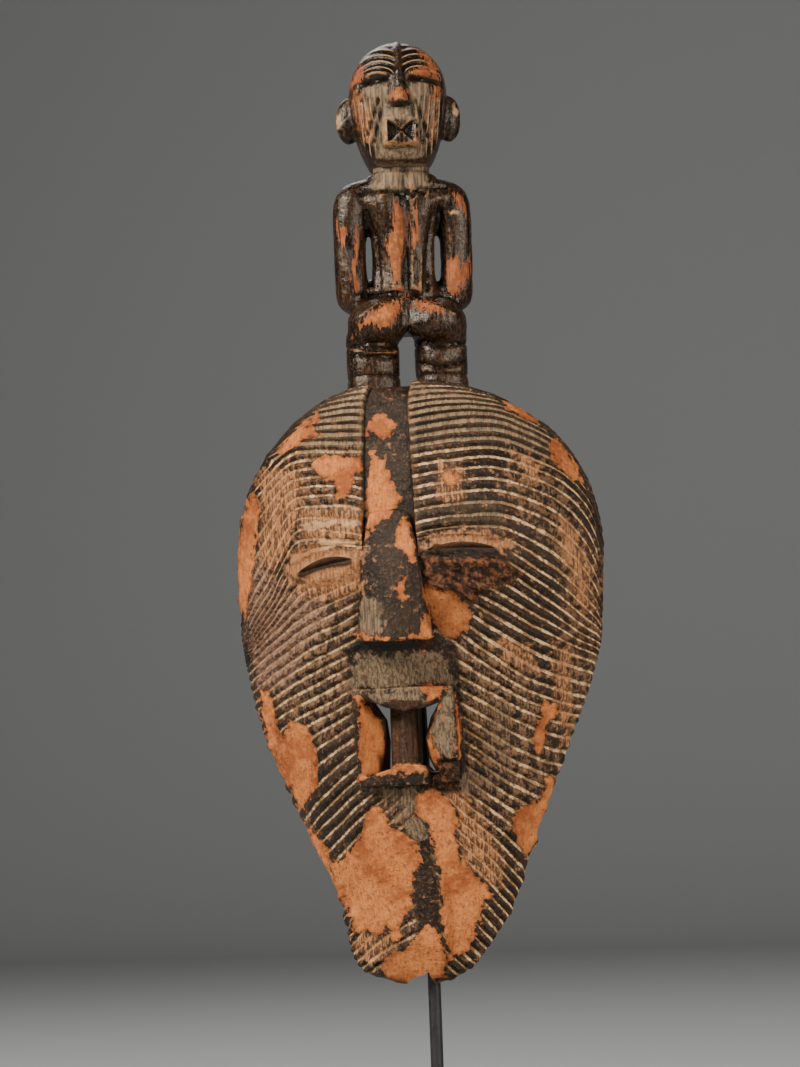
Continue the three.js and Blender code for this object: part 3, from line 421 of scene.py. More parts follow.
LATTICE_SIDE = 24
LATTICE = np.random.default_rng(8).random((LATTICE_SIDE, LATTICE_SIDE, LATTICE_SIDE)) * 2 - 1
OCTAVE_SHIFT = 7.3


def rough(places, size, octaves=2):
    """Smooth random unevenness between -1 and 1, its lumps about size millimetres across."""
    total, weight = 0, 0
    for octave in range(octaves):
        grid = places / (size / 2**octave) + OCTAVE_SHIFT * octave
        cell = np.floor(grid).astype(int)
        part = grid - cell
        part = part * part * (3 - 2 * part)
        value = 0
        for corner in range(8):
            step = np.array([corner >> 2 & 1, corner >> 1 & 1, corner & 1])
            share = np.prod(np.where(step, part, 1 - part), -1)
            index = (cell + step) % LATTICE_SIDE
            value = value + share * LATTICE[index[..., 0], index[..., 1], index[..., 2]]
        total, weight = total + value / 2**octave, weight + 1 / 2**octave
    return total / weight


def off_side(across, down, start, end):
    """How far each place in the picture is from one straight side, in pixels."""
    side_x, side_y = end[0] - start[0], end[1] - start[1]
    past_x, past_y = across - start[0], down - start[1]
    share = np.clip((past_x * side_x + past_y * side_y) / (side_x * side_x + side_y * side_y), 0, 1)
    return np.hypot(past_x - share * side_x, past_y - share * side_y)


def inside_by(outline, across, down):
    """How far each place lies inside an outline, in pixels, below zero outside it."""
    corners = np.array(outline, float)
    nearest = np.full(across.shape, np.inf)
    crossings = np.zeros(across.shape, int)
    for start, end in zip(corners, np.roll(corners, -1, 0)):
        nearest = np.minimum(nearest, off_side(across, down, start, end))
        side_x, side_y = end - start
        spans = (start[1] > down) != (end[1] > down)
        crossings += spans & (across < start[0] + side_x * (down - start[1]) / (side_y if side_y else 1))
    return np.where(crossings % 2, nearest, -nearest)


def seen_at(places):
    """Where places above the chin are seen in the picture."""
    return pixels(places + [0, 0, CHIN_HEIGHT])


def wear(outlines, places):
    """How far places lie inside any of several outlines, in millimetres."""
    across, down = seen_at(places)
    return np.max([inside_by(outline, across, down) for outline in outlines], 0) * MM_PER_PIXEL


def beside_line(lines, places):
    """How far places are seen beside any of several lines drawn in the picture, in millimetres."""
    across, down = seen_at(places)
    nearest = np.full(across.shape, np.inf)
    for line in lines:
        for start, end in zip(line, line[1:]):
            nearest = np.minimum(nearest, off_side(across, down, start, end))
    return nearest * MM_PER_PIXEL


def nicked(places):
    """How deep the nicks of the rim reach, in millimetres."""
    across, down = seen_at(places)
    depth = np.zeros(across.shape)
    for nick_x, nick_y, size in NICKS:
        away = np.hypot(across - nick_x, down - nick_y) * MM_PER_PIXEL
        depth = np.maximum(depth, NICK_SHARE * size * bell(away, size))
    return depth


def outward(grid):
    """Directions square to a grid of points, pointing away from the wood."""
    direction = np.cross(np.gradient(grid, axis=1), np.gradient(grid, axis=0))
    return direction / np.maximum(1e-9, np.linalg.norm(direction, axis=-1, keepdims=True))


def eye_reach(x, along):
    """How far out a place is in its eye socket, 1 at the socket's edge."""
    level = np.where(x < 0, EYE_LEVEL_LEFT, EYE_LEVEL_RIGHT)
    return np.hypot((np.abs(x) - EYE_SOCKET_X) / EYE_SOCKET_HALF, (along - level) / EYE_SOCKET_RISE)


def keel_half_width(height):
    """From the middle of the forehead to the edge of its keel."""
    return through_keys(KEEL_HEIGHTS, KEEL_HALF_WIDTHS, np.clip(height, KEEL_HEIGHTS[0], KEEL_HEIGHTS[-1]))


def slit_line(share, inner_end, outer_end):
    """Height of the middle of an eye's slit, at a share of the way from its inner end."""
    return inner_end[1] + (outer_end[1] - inner_end[1]) * share + EYE_ARCH * np.sin(math.pi * share)


stripes = np.append(np.add.outer(np.arange(LAST_STRIPE), ROWS_IN_STRIPE).ravel(), LAST_STRIPE)
sides = []
for side in (-1, 1):
    heights = stripe_heights(stripes, side)
    rim = heights[-1]
    dome_reach = bisect(
        np.zeros_like(rim), np.full_like(rim, HALF_WIDTH),
        lambda x: WIDEST_HEIGHT + dome_section(side * x)[-1] > rim,
    )
    reach = np.where(rim <= WIDEST_HEIGHT, half_width(np.minimum(rim, WIDEST_HEIGHT), side), dome_reach)
    far = reach * JUST_INSIDE
    past = stripe_at(heights, reach, far)
    room = WIDEST_HEIGHT + dome_section(side * far)[-1] - past
    crossing = bisect(reach / 2, far, lambda x: (
        WIDEST_HEIGHT + dome_section(side * x)[-1] > stripe_at(heights, reach, x)
    ))
    end = np.where((past <= WIDEST_HEIGHT) | (room > 0), reach, crossing)[:, None]
    keel = np.minimum(keel_half_width(heights[0]), reach * KEEL_SHARE)[:, None]
    sweep = np.sin(np.arange(1, CHEEK_COLUMNS + 1) / CHEEK_COLUMNS * math.pi / 2)
    across = np.concatenate([
        keel * KEEL_COLUMNS,
        keel + KEEL_EDGE * np.array(KEEL_EDGE_COLUMNS),
        keel + KEEL_EDGE + (end - keel - KEEL_EDGE) * sweep,
    ], 1)
    along = stripe_at(heights[:, :, None], reach[:, None], across)
    sides.append((side * across, along, across / end))

middle = np.zeros((len(stripes), 1))
x = np.concatenate([sides[0][0][:, ::-1], middle, sides[1][0]], 1)
along = np.concatenate([sides[0][1][:, ::-1], stripe_heights(stripes, 1)[0][:, None], sides[1][1]], 1)
outwards = np.concatenate([sides[0][2][:, ::-1], middle, sides[1][2]], 1)
striped_over = np.repeat(stripes[:, None], x.shape[1], 1)

free = (1 - outwards**6) * smooth_step(0, 30, STRIPES_LEFT[0][1] - along) * smooth_step(2, 30, along)
places = np.stack([x, along, 0 * x], -1)
strays = STRAY * rough(places, STRAY_LENGTH) + SHAKE * rough(places, SHAKE_LENGTH)
unsteady = strays * free * smooth_step(5, 25, np.abs(x))
skin = skin_point(x, along + unsteady)
face_out = outward(skin)

off_keel = np.abs(x) - keel_half_width(along)
plain = (1 - smooth_step(0, PLAIN_KEEL_FADE, off_keel)) * smooth_step(*PLAIN_KEEL_FOOT, along)
for middle_x, half, faded, foot, top in PLAIN_STRIPS:
    in_strip = (1 - smooth_step(half, faded, np.abs(x - middle_x))) * smooth_step(*foot, along)
    plain = plain + in_strip * (along < top)
socket = eye_reach(x, along)
striped = (1 - np.clip(plain, 0, 1)) * smooth_step(0.9, 1.1, socket) * smooth_step(2, 12, along)
ridge_share = (
    RIDGE_SHARE + FOREHEAD_RIDGE_SHARE * smooth_step(FOREHEAD_FROM, FOREHEAD_TO, along)
    + UNEVEN_RIDGE_SHARE * rough(skin, 18)
)
gap = np.abs(striped_over - np.round(striped_over))
hollowed = 1 - np.clip((0.5 - gap) / (0.5 - ridge_share / 2), 0, 1) ** 2
chipped = smooth_step(*CHIP_EDGE, wear(BARE, skin) + CHIP_TORN * rough(skin, CHIP_TORN_LENGTH))
worn = smooth_step(*WORN_EDGE, wear(WORN, skin))
rotted = smooth_step(*ROT_EDGE, wear(ROTTED, skin) + ROT_TORN * rough(skin, ROT_TORN_LENGTH))
uneven = 1 + GROOVE_UNEVEN * rough(skin, GROOVE_UNEVEN_LENGTH)
tool_marks = sum(size * rough(skin * stretch, length) for size, stretch, length in TOOL_CUTS) * striped
knocked = smooth_step(*KNOCK_RARE, rough(skin, KNOCK_LENGTH)) * (gap < KNOCK_NEAR_RIDGE) * striped
# The folds of the lids, and painted shade along each slit
lids, slit_shade = 0 * x, 0 * x
for inner_end, outer_end, _ in EYES:
    share = (x - inner_end[0]) / (outer_end[0] - inner_end[0])
    over = along - slit_line(np.clip(share, 0, 1), inner_end, outer_end)
    wide = smooth_step(-0.12, 0.12, share) * (1 - smooth_step(0.9, 1.12, share))
    slit_shade = np.maximum(slit_shade, wide * bell(over + SLIT_SHADE_UNDER, SLIT_SHADE_WIDTH))
    lids += wide * sum(size * bell(over - height, width) for size, height, width in LID_FOLDS)
grooves = -GROOVE_DEPTH * hollowed * striped * uneven
relief = (
    grooves * (1 - GROOVE_LOST_CHIPPED * chipped) * (1 - GROOVE_LOST_WORN * worn)
    - chipped * (CHIP_DEPTH + CHIP_UNEVEN * rough(skin, 9)) * (1 - rotted)
    - rotted * (ROT_DEPTH + ROT_LUMPS * rough(skin, 12) + ROT_CRUMBS * rough(skin, 5))
    + tool_marks + lids - KNOCK_DEPTH * knocked
    + KEEL_RISE * (1 - smooth_step(0, KEEL_EDGE, off_keel)) * smooth_step(250, 300, along)
    - EYE_SOCKET_SINK * (1 - smooth_step(0.45, 1, socket))
)
relief *= np.where(outwards > RIM_FROM, RIM_RELIEF_SHARE, 1)
relief -= CHANNEL_DEPTH * bell(beside_line(CHANNELS, skin), CHANNEL_WIDTH) + nicked(skin)
rim_rough = (RIM_LUMPS * rough(skin, 17) + RIM_CRUMBS * rough(skin, 6)) * (along < RIM_ROUGH_BELOW)
relief += smooth_step(0.9, 0.99, outwards) * rim_rough
face = skin + face_out * relief[..., None]

# The hollow behind the face: the same block, gouged out from the back and left rough.
# Its wall is about 14 mm thick, and a flat rim runs round it.
HOLLOW_MIDDLE = 255
HOLLOW_TURNS = 160
HOLLOW_CROWDING = 0.4
HOLLOW_SHARES = [1, 0.985, 0.95, 0.9, 0.83, 0.75, 0.66, 0.56, 0.45, 0.34, 0.22, 0.1]
HOLLOW_ROUNDNESS, HOLLOW_FULLNESS = 2.2, 0.6
GOUGE_MARKS, GOUGE_LENGTH = 0.9, 16
THINNEST_HOLLOW = 2
LONGEST_REACH = 400


def hollow_reach(sideways, upwards):
    """How far the hollow goes from its middle in one direction."""
    steps = np.arange(1, LONGEST_REACH, 0.5)
    x, z = steps * sideways, HOLLOW_MIDDLE + steps * upwards
    top = dome_outline(x) - CROWN_WALL + RIM_WALL
    in_dome = (z >= WIDEST_HEIGHT) & (z < top) & (np.abs(x) < HALF_WIDTH)
    in_face = (z < WIDEST_HEIGHT) & (z > 0) & (np.abs(x) < half_width(z, np.sign(sideways)))
    return steps[np.argmin(in_dome | in_face)] - RIM_WALL


turns = -2 * math.pi * np.arange(HOLLOW_TURNS) / HOLLOW_TURNS
angles = turns - HOLLOW_CROWDING * np.cos(turns)
reaches = np.array([hollow_reach(math.cos(a), math.sin(a)) for a in angles])
rings = []
for share in HOLLOW_SHARES:
    ring_x = reaches * share * np.cos(angles)
    ring_z = HOLLOW_MIDDLE + reaches * share * np.sin(angles)
    deepest = np.maximum(THINNEST_HOLLOW, profile_depth(ring_z) - WALL)
    depth = deepest * (1 - share**HOLLOW_ROUNDNESS) ** HOLLOW_FULLNESS
    ring = np.stack([ring_x, -rim_forward(ring_z) - depth, ring_z], -1)
    ring[:, 1] += GOUGE_MARKS * rough(ring, GOUGE_LENGTH) * (share < 1)
    rings.append(ring)
hub = np.array([[0, WALL - profile_depth(HOLLOW_MIDDLE), HOLLOW_MIDDLE]])


def grid_faces(rows, columns, first=0, closed=False):
    """Four-cornered faces over a grid of points counted row by row, closed round if it is a tube."""
    across = np.arange(columns if closed else columns - 1)
    row, column = np.meshgrid(np.arange(rows - 1), across, indexing="ij")
    following = (column + 1) % columns

    def corner(r, c):
        return first + r * columns + c

    corners = [corner(row, column), corner(row + 1, column), corner(row + 1, following), corner(row, following)]
    return np.stack(corners, -1).reshape(-1, 4)


def block_rim(points, edge, inner):
    """Flat rim between the edge of the carved face and the edge of the hollow, both clockwise."""
    def turned(index):
        return np.arctan2(points[index, 2] - HOLLOW_MIDDLE, points[index, 0])

    start = turned(edge[0])

    def clockwise(index):
        turn = (start - turned(index)) % (2 * math.pi)
        return np.where(turn > 2 * math.pi - 1e-9, 0, turn)

    inner = np.roll(inner, -np.argmin(clockwise(inner)))
    out_turns = np.append(clockwise(edge), 2 * math.pi)
    in_turns = np.append(clockwise(inner), 2 * math.pi)
    faces, out, into, current = [], 0, 0, inner[-1]
    while out < len(edge) or into < len(inner):
        if into >= len(inner) or (out < len(edge) and out_turns[out + 1] <= in_turns[into]):
            faces.append((current, edge[out], edge[(out + 1) % len(edge)]))
            out += 1
        else:
            faces.append((current, edge[out % len(edge)], inner[into]))
            current = inner[into]
            into += 1
    return faces


rows, columns = x.shape
first_ring = rows * columns
block_points = np.concatenate([face.reshape(-1, 3), *rings, hub])
numbers = np.arange(rows * columns).reshape(rows, columns)
edge = np.concatenate([numbers[0], numbers[1:-1, -1], numbers[-1, ::-1], numbers[-2:0:-1, 0]])
inner = first_ring + np.arange(HOLLOW_TURNS)
block_faces = grid_faces(rows, columns).tolist()
block_faces += block_rim(block_points, edge, inner)
for ring_start in range(len(HOLLOW_SHARES) - 1):
    block_faces += grid_faces(2, HOLLOW_TURNS, first_ring + ring_start * HOLLOW_TURNS, True)[:, ::-1].tolist()
last = first_ring + (len(HOLLOW_SHARES) - 1) * HOLLOW_TURNS + np.arange(HOLLOW_TURNS)
block_faces += [(len(block_points) - 1, a, b) for a, b in zip(last, np.roll(last, -1))]


def make(name, points, faces):
    """A mesh object from points in millimetres above the chin."""
    mesh = bpy.data.meshes.new(name)
    mesh.from_pydata((np.asarray(points) + [0, 0, CHIN_HEIGHT]) * MM, [], [tuple(f) for f in faces])
    piece = bpy.data.objects.new(name, mesh)
    bpy.context.scene.collection.objects.link(piece)
    return piece


def work(piece, kind, **settings):
    """Works one of Blender's modifiers into a piece."""
    modifier = piece.modifiers.new(kind, kind)
    for name, value in settings.items():
        setattr(modifier, name, value)
    depsgraph = bpy.context.evaluated_depsgraph_get()
    mesh = bpy.data.meshes.new_from_object(piece.evaluated_get(depsgraph))
    piece.modifiers.clear()
    piece.data = mesh
    return piece


def carve(piece, other, operation):
    """Joins another form to a piece or cuts it out, and uses it up."""
    work(piece, "BOOLEAN", operation=operation, object=other, solver="MANIFOLD")
    bpy.data.objects.remove(other)
    return piece


def places_of(piece):
    """The points of a piece, in millimetres above the chin."""
    flat = np.empty(len(piece.data.vertices) * 3, np.float32)
    piece.data.vertices.foreach_get("co", flat)
    return flat.reshape(-1, 3).astype(float) / MM - [0, 0, CHIN_HEIGHT]


def directions_of(piece):
    """The way each point of a piece faces."""
    flat = np.empty(len(piece.data.vertices) * 3, np.float32)
    piece.data.vertex_normals.foreach_get("vector", flat)
    return flat.reshape(-1, 3).astype(float)


def place(piece, points):
    """Moves the points of a piece."""
    flat = ((points + [0, 0, CHIN_HEIGHT]) * MM).astype(np.float32).ravel()
    piece.data.vertices.foreach_set("co", flat)
    piece.data.update()


def loft(rings):
    """Closed form through rings of points."""
    rings = np.asarray(rings, float)
    count, sides = rings.shape[:2]
    points = np.concatenate([rings.reshape(-1, 3), [rings[0].mean(0)], [rings[-1].mean(0)]])
    faces = grid_faces(count, sides, 0, True)[:, ::-1].tolist()
    low, high = np.arange(sides), np.arange(sides) + (count - 1) * sides
    faces += [(count * sides, b, a) for a, b in zip(low, np.roll(low, -1))]
    faces += [(count * sides + 1, a, b) for a, b in zip(high, np.roll(high, -1))]
    return points, faces


def together(*forms):
    """Several closed forms as one list of points and faces."""
    points, faces, first = [], [], 0
    for form_points, form_faces in forms:
        points.append(form_points)
        faces += [[index + first for index in face] for face in form_faces]
        first += len(form_points)
    return np.concatenate(points), faces


def fill_out(outline, spacing):
    """An outline with points added along its sides."""
    filled = []
    for a, b in zip(np.array(outline, float), np.roll(np.array(outline, float), -1, 0)):
        count = max(1, round(float(np.linalg.norm(b - a)) / spacing))
        filled += [a + (b - a) * step / count for step in range(count)]
    return np.array(filled)


mask = make("mask_carving", block_points, block_faces)

# What the finish needs to know of each point: its stripe, the ridge's share, how striped it is, its part, and
# its painted shade
ON_FACE, IN_HOLLOW, ON_FIGURE = 0, 1, 2
NO_STRIPE = [0, 0.3, 0]
face_marks = np.stack([striped_over, ridge_share, striped, 0 * x + ON_FACE, slit_shade], -1).reshape(-1, 5)
hollow_marks = np.tile([*NO_STRIPE, IN_HOLLOW, 0], (len(block_points) - rows * columns, 1))

# The nose and the square mouth: left standing out of the same block, so they join the face without a seam.
# The nose is a three-sided wedge with an undercut foot, the mouth a frame hollowed like an hourglass,
# with an upright bar left across its throat.
NOSE_HEIGHTS, NOSE_HALVES = [326, 296, 266, 236], [13, 19.5, 22.5, 27]
NOSE_SIDES, NOSE_RIDGES = [1, 4.5, 9, 15], [2.2, 9, 20, 33]
NOSE_UNDERCUT, NOSE_UNDERCUT_HEIGHT = 5, 4
NOSE_LEVELS, NOSE_BURIED = 24, 10
MOUTH_TOP, MOUTH_BOTTOM, MOUTH_HALF = 206, 139, 36
MOUTH_FRONT_TOP, MOUTH_FRONT_BOTTOM, MOUTH_WEDGE = 70, 55, 20
MOUTH_BURIED, MOUTH_CUT_FROM, MOUTH_CUT_TO = 4, -12, 20
MOUTH_OUTLINE_STEP = 6
MOUTH_FRONT = [
    (-31, 200), (-13, 193), (1.5, 189.5), (13, 193), (27.5, 198.5), (24, 187), (19.5, 172), (22, 158),
    (25.5, 147), (15, 147), (10.5, 152), (1, 154), (-20, 149), (-33, 144), (-32, 170), (-31.5, 187),
]
MOUTH_THROAT = [
    (-26, 199), (-13, 193), (1.5, 190.5), (13, 193), (24, 197), (14.8, 185.5), (9.6, 171), (11, 158),
    (15, 149), (13, 148.5), (10, 152), (1, 153), (-14, 149), (-19, 147), (-16.5, 170), (-17.5, 185),
]
BAR_MIDDLE, BAR_HALF, BAR_RIDGE, BAR_EDGE, BAR_BACK, BAR_BURIED = -3.4, 10, 55, 49, 36, 4
CARVED_FINENESS = 1.25
FIBRES, FIBRE_LENGTH, LUMPS, LUMP_LENGTH = 0.3, 3, 0.35, 10
LIP_BROKEN_OFF, LIP_BREAK_ROUGH = 6, 3
# Broken away: the lower right corner of the mouth
BROKEN_LIP = [
    [(429, 764), (444, 757), (470, 760), (470, 800), (431, 800), (426, 780)],
]


def skin_y(x, height):
    """How far forward the skin lies, below zero towards the viewer."""
    return skin_point(x, height)[..., 1]


nose_rings = []
for height in np.linspace(NOSE_HEIGHTS[-1], NOSE_HEIGHTS[0], NOSE_LEVELS):
    half, flank, ridge = (
        through_keys(NOSE_HEIGHTS[::-1], values[::-1], height)
        for values in (NOSE_HALVES, NOSE_SIDES, NOSE_RIDGES)
    )
    middle_y = float(skin_y(0, height))
    flank_y = float(skin_y(half, height)) - flank
    lift = NOSE_UNDERCUT * max(0, 1 - (height - NOSE_HEIGHTS[-1]) / NOSE_UNDERCUT_HEIGHT)
    shoulder = middle_y - (flank + ridge) / 2 - 1
    nose_rings.append([
        (-half, middle_y + NOSE_BURIED, height + lift), (-half, flank_y, height + lift * 0.3),
        (-half / 2, shoulder, height + lift * 0.15), (0, middle_y - ridge, height),
        (half / 2, shoulder, height + lift * 0.15), (half, flank_y, height + lift * 0.3),
        (half, middle_y + NOSE_BURIED, height + lift),
    ])

mouth_outline = fill_out([
    (-MOUTH_HALF, MOUTH_TOP), (MOUTH_HALF, MOUTH_TOP), (MOUTH_HALF, MOUTH_BOTTOM), (-MOUTH_HALF, MOUTH_BOTTOM),
], MOUTH_OUTLINE_STEP)


def mouth_front_depth(z):
    """How far the sloping front of the mouth stands forward."""
    share = (z - MOUTH_BOTTOM) / (MOUTH_TOP - MOUTH_BOTTOM)
    return MOUTH_FRONT_BOTTOM + share * (MOUTH_FRONT_TOP - MOUTH_FRONT_BOTTOM)


frame_x, frame_z = mouth_outline.T
frame_front = np.stack([frame_x, -mouth_front_depth(frame_z), frame_z], -1)
frame_back = np.stack([frame_x, skin_y(frame_x, frame_z) + MOUTH_BURIED, frame_z], -1)


def mouth_ring(outline, behind):
    """An outline of the opening, laid a distance behind the mouth's sloping front."""
    outline = np.array(outline, float)
    return np.stack([outline[:, 0], behind - mouth_front_depth(outline[:, 1]), outline[:, 1]], -1)


throat = np.array(MOUTH_THROAT, float)
opening = [
    mouth_ring(MOUTH_FRONT, MOUTH_CUT_FROM), mouth_ring(MOUTH_FRONT, 0), mouth_ring(MOUTH_THROAT, MOUTH_WEDGE),
    np.stack([throat[:, 0], MOUTH_CUT_TO + 0 * throat[:, 0], throat[:, 1]], -1),
]
bar = [
    [(BAR_MIDDLE - BAR_HALF, -BAR_BACK, z), (BAR_MIDDLE - BAR_HALF, -BAR_EDGE, z), (BAR_MIDDLE, -BAR_RIDGE, z),
     (BAR_MIDDLE + BAR_HALF, -BAR_EDGE, z), (BAR_MIDDLE + BAR_HALF, -BAR_BACK, z)]
    for z in (MOUTH_BOTTOM + BAR_BURIED, MOUTH_TOP - BAR_BURIED)
]
mouth = make("mouth", *loft([frame_back, frame_front]))
carve(mouth, make("opening", *loft(opening)), "DIFFERENCE")
carve(mouth, make("bar", *loft(bar)), "UNION")
nose_and_mouth = carve(make("nose_and_mouth", *loft(nose_rings)), mouth, "UNION")
work(nose_and_mouth, "REMESH", mode="VOXEL", voxel_size=CARVED_FINENESS * MM)
work(nose_and_mouth, "SMOOTH", factor=0.5, iterations=3)
points = places_of(nose_and_mouth)
grained = FIBRES * rough(points * [1, 1, 0.25], FIBRE_LENGTH) + LUMPS * rough(points, LUMP_LENGTH)
directions = directions_of(nose_and_mouth)
broken = smooth_step(-0.5, 2.5, wear(BROKEN_LIP, points) + 2 * rough(points, 7))
broken = broken * smooth_step(0, 0.5, directions @ view_back)
points[:, 1] += broken * (LIP_BROKEN_OFF + LIP_BREAK_ROUGH * rough(points, 9))
place(nose_and_mouth, points + directions * grained[:, None])

carve(mask, make("throat", *loft(opening)), "DIFFERENCE")
carve(mask, nose_and_mouth, "UNION")

# The eyes: two narrow slits, cut with a knife right through the sunken sockets.
# Each is lens-shaped and slopes down towards the back.
EYE_STEPS = 14
EYE_SLOPE = 0.5
EYE_CUT_FROM, EYE_CUT_TO = -20, -120
EYE_FULLNESS = 0.6
for inner_end, outer_end, half_open in EYES:
    share = np.arange(EYE_STEPS + 1) / EYE_STEPS
    slit_x = inner_end[0] + (outer_end[0] - inner_end[0]) * share
    slit_z = slit_line(share, inner_end, outer_end)
    half = half_open * np.sin(math.pi * share).clip(0) ** EYE_FULLNESS
    loop_x = np.concatenate([slit_x, slit_x[-2:0:-1]])
    loop_z = np.concatenate([slit_z + half, (slit_z - half)[-2:0:-1]])
    if inner_end[0] < outer_end[0]:
        loop_x, loop_z = loop_x[::-1], loop_z[::-1]
    slit = [
        np.stack([loop_x, np.full_like(loop_x, y), loop_z + EYE_SLOPE * (skin_y(loop_x, loop_z) - y)], -1)
        for y in (EYE_CUT_FROM, EYE_CUT_TO)
    ]
    carve(mask, make("slit", *loft(slit)), "DIFFERENCE")

# The body of the small figure on the crown: carved from the same block, its back to the front of the mask.
# A neck, bent arms with the hands on the belly, buttocks and two stub legs that grow out of the crown.
FIGURE_AT = [-1, -8, 0]
BODY_TURN = math.radians(19)
FIGURE_BASE = 408
LEG_X, LEG_HALF, LEG_DEPTH, LEG_KNEE, LEG_TOP, LEG_POWER = 24.5, 18.7, 20, 436, 462, 2.6
ARM_PATH = [
    (27, 0, 566), (36.5, -1, 554), (38.5, 0, 520), (37, 2, 489), (32, 17, 488), (19, 26, 498), (8, 29, 504),
]
ARM_RADII = [8, 13, 11.6, 12, 10.5, 8.5, 6]
ARM_STEPS = 49
TORSO = [(462, 34, 21, 0), (478, 31, 20, 1), (489, 25.5, 18, 2), (508, 22.5, 17, 2), (530, 23, 17, 0),
         (546, 26, 17.5, -1), (557, 38, 17, -1), (567, 37, 14.5, -1), (574, 24, 12, -1)]
TORSO_POWER = 2.4
NECK = [(22, 19, 562), (20, 20, 592)]
BELLY, NAVEL = (0, 13, 500, 20, 12, 22), (0, 24.5, 490, 4, 5, 4)
BUTTOCK_X, BUTTOCK = 21.5, (-9, 467, 21.5, 19, 18.5)
FIGURE_SIDES, BALL_RINGS, BALL_END = 48, 13, 84
BODY_FINENESS = 1.75
# Cuts into the body and forms left standing on it: how deep or high, how wide, and where
SPINE_DEPTH, SPINE_WIDTH, SPINE_FOOT, SPINE_TOP = 3.2, 3.4, (484, 494), (572, 590)
BLADE_RISE, BLADE_X, BLADE_WIDTH, BLADE_HEIGHT, BLADE_TALL = 1.8, 17, 9, 548, 13
PANEL_RISE, PANEL_HEIGHTS, PANEL_HALVES = 1.5, [480, 530, 556, 576], [10.5, 11.5, 17, 26]
PANEL_FOOT, PANEL_TOP = (488, 492), 575
WAIST_DEPTH, WAIST_HEIGHT, WAIST_TALL, WAIST_WIDTH = 1.2, 487, 1.8, 40
KNEE_DEPTH, KNEE_HEIGHT, ANKLE_HEIGHT, KNEE_TALL = 0.9, 452, 429, 1.3


def level_ring(rx, ry, z, x=0, y=0, power=2):
    """A level oval, squarer the higher its power."""
    angle = 2 * math.pi * np.arange(FIGURE_SIDES) / FIGURE_SIDES
    c, s = np.cos(angle), np.sin(angle)
    px = np.sign(c) * np.abs(c) ** (2 / power) * rx
    py = np.sign(s) * np.abs(s) ** (2 / power) * ry
    return np.stack([x + px, y + py, 0 * px + z], -1)


def ball(x, y, z, rx, ry, rz):
    """A closed egg."""
    tilts = np.radians(np.linspace(-BALL_END, BALL_END, BALL_RINGS))
    return loft([level_ring(rx * math.cos(t), ry * math.cos(t), z + rz * math.sin(t), x, y) for t in tilts])


def smooth_loft(sections, power, step=3):
    """Closed form through level ovals, each given by its height, half width, half depth and place."""
    keys = [section[0] for section in sections]
    levels = np.linspace(keys[0], keys[-1], round((keys[-1] - keys[0]) / step) + 1)
    columns = [
        through_keys(keys, [section[i] for section in sections], levels)
        for i in range(1, len(sections[0]))
    ]
    columns += [0 * levels] * (3 - len(columns))
    return loft([level_ring(rx, ry, z, 0, y, power) for z, rx, ry, y in zip(levels, *columns)])


def turned_about(points, angle):
    """Points turned about the figure's upright axis."""
    c, s = math.cos(angle), math.sin(angle)
    return points @ np.array([[c, s, 0], [-s, c, 0], [0, 0, 1]])


neck = loft([level_ring(*oval) for oval in NECK])
forms = [smooth_loft(TORSO, TORSO_POWER), neck, ball(*BELLY), ball(*NAVEL)]
for side in (-1, 1):
    forms.append(loft([
        level_ring(LEG_HALF, LEG_DEPTH, z, side * LEG_X, 0, LEG_POWER) for z in (FIGURE_BASE, LEG_KNEE, LEG_TOP)
    ]))
    forms.append(ball(side * BUTTOCK_X, *BUTTOCK))
    stations = np.linspace(0, 1, len(ARM_PATH))
    along_arm = np.linspace(0, 1, ARM_STEPS)
    arm = [through_keys(stations, [point[i] for point in ARM_PATH], along_arm) for i in range(3)]
    girth = through_keys(stations, ARM_RADII, along_arm)
    forms += [ball(side * px, py, pz, r, r, r) for px, py, pz, r in zip(*arm, girth)]
body = make("figure_body", *together(*forms))
work(body, "REMESH", mode="VOXEL", voxel_size=BODY_FINENESS * MM)
work(body, "SMOOTH", factor=0.5, iterations=6)

points = places_of(body)
bx, by, bz = points.T
on_back = smooth_step(4, -6, by)
panel_half = through_keys(PANEL_HEIGHTS, PANEL_HALVES, np.clip(bz, PANEL_HEIGHTS[0], PANEL_HEIGHTS[-1]))
off_panel = smooth_step(-1, 1.2, np.abs(bx) - panel_half)
spine_from, spine_to = smooth_step(*SPINE_FOOT, bz), 1 - smooth_step(*SPINE_TOP, bz)
carving = (
    -SPINE_DEPTH * bell(bx, SPINE_WIDTH) * spine_from * spine_to * on_back
    + BLADE_RISE * bell(np.abs(bx) - BLADE_X, BLADE_WIDTH) * bell(bz - BLADE_HEIGHT, BLADE_TALL) * on_back
    + PANEL_RISE * (1 - off_panel) * smooth_step(*PANEL_FOOT, bz) * (bz < PANEL_TOP) * on_back
    - WAIST_DEPTH * bell(bz - WAIST_HEIGHT, WAIST_TALL) * bell(np.abs(bx), WAIST_WIDTH) * on_back
    - KNEE_DEPTH * bell(bz - KNEE_HEIGHT, KNEE_TALL)
    - KNEE_DEPTH * bell(bz - ANKLE_HEIGHT, KNEE_TALL)
    + 0.5 * rough(points, 11) + 0.25 * rough(points, 4)
)
place(body, points + directions_of(body) * carving[:, None])


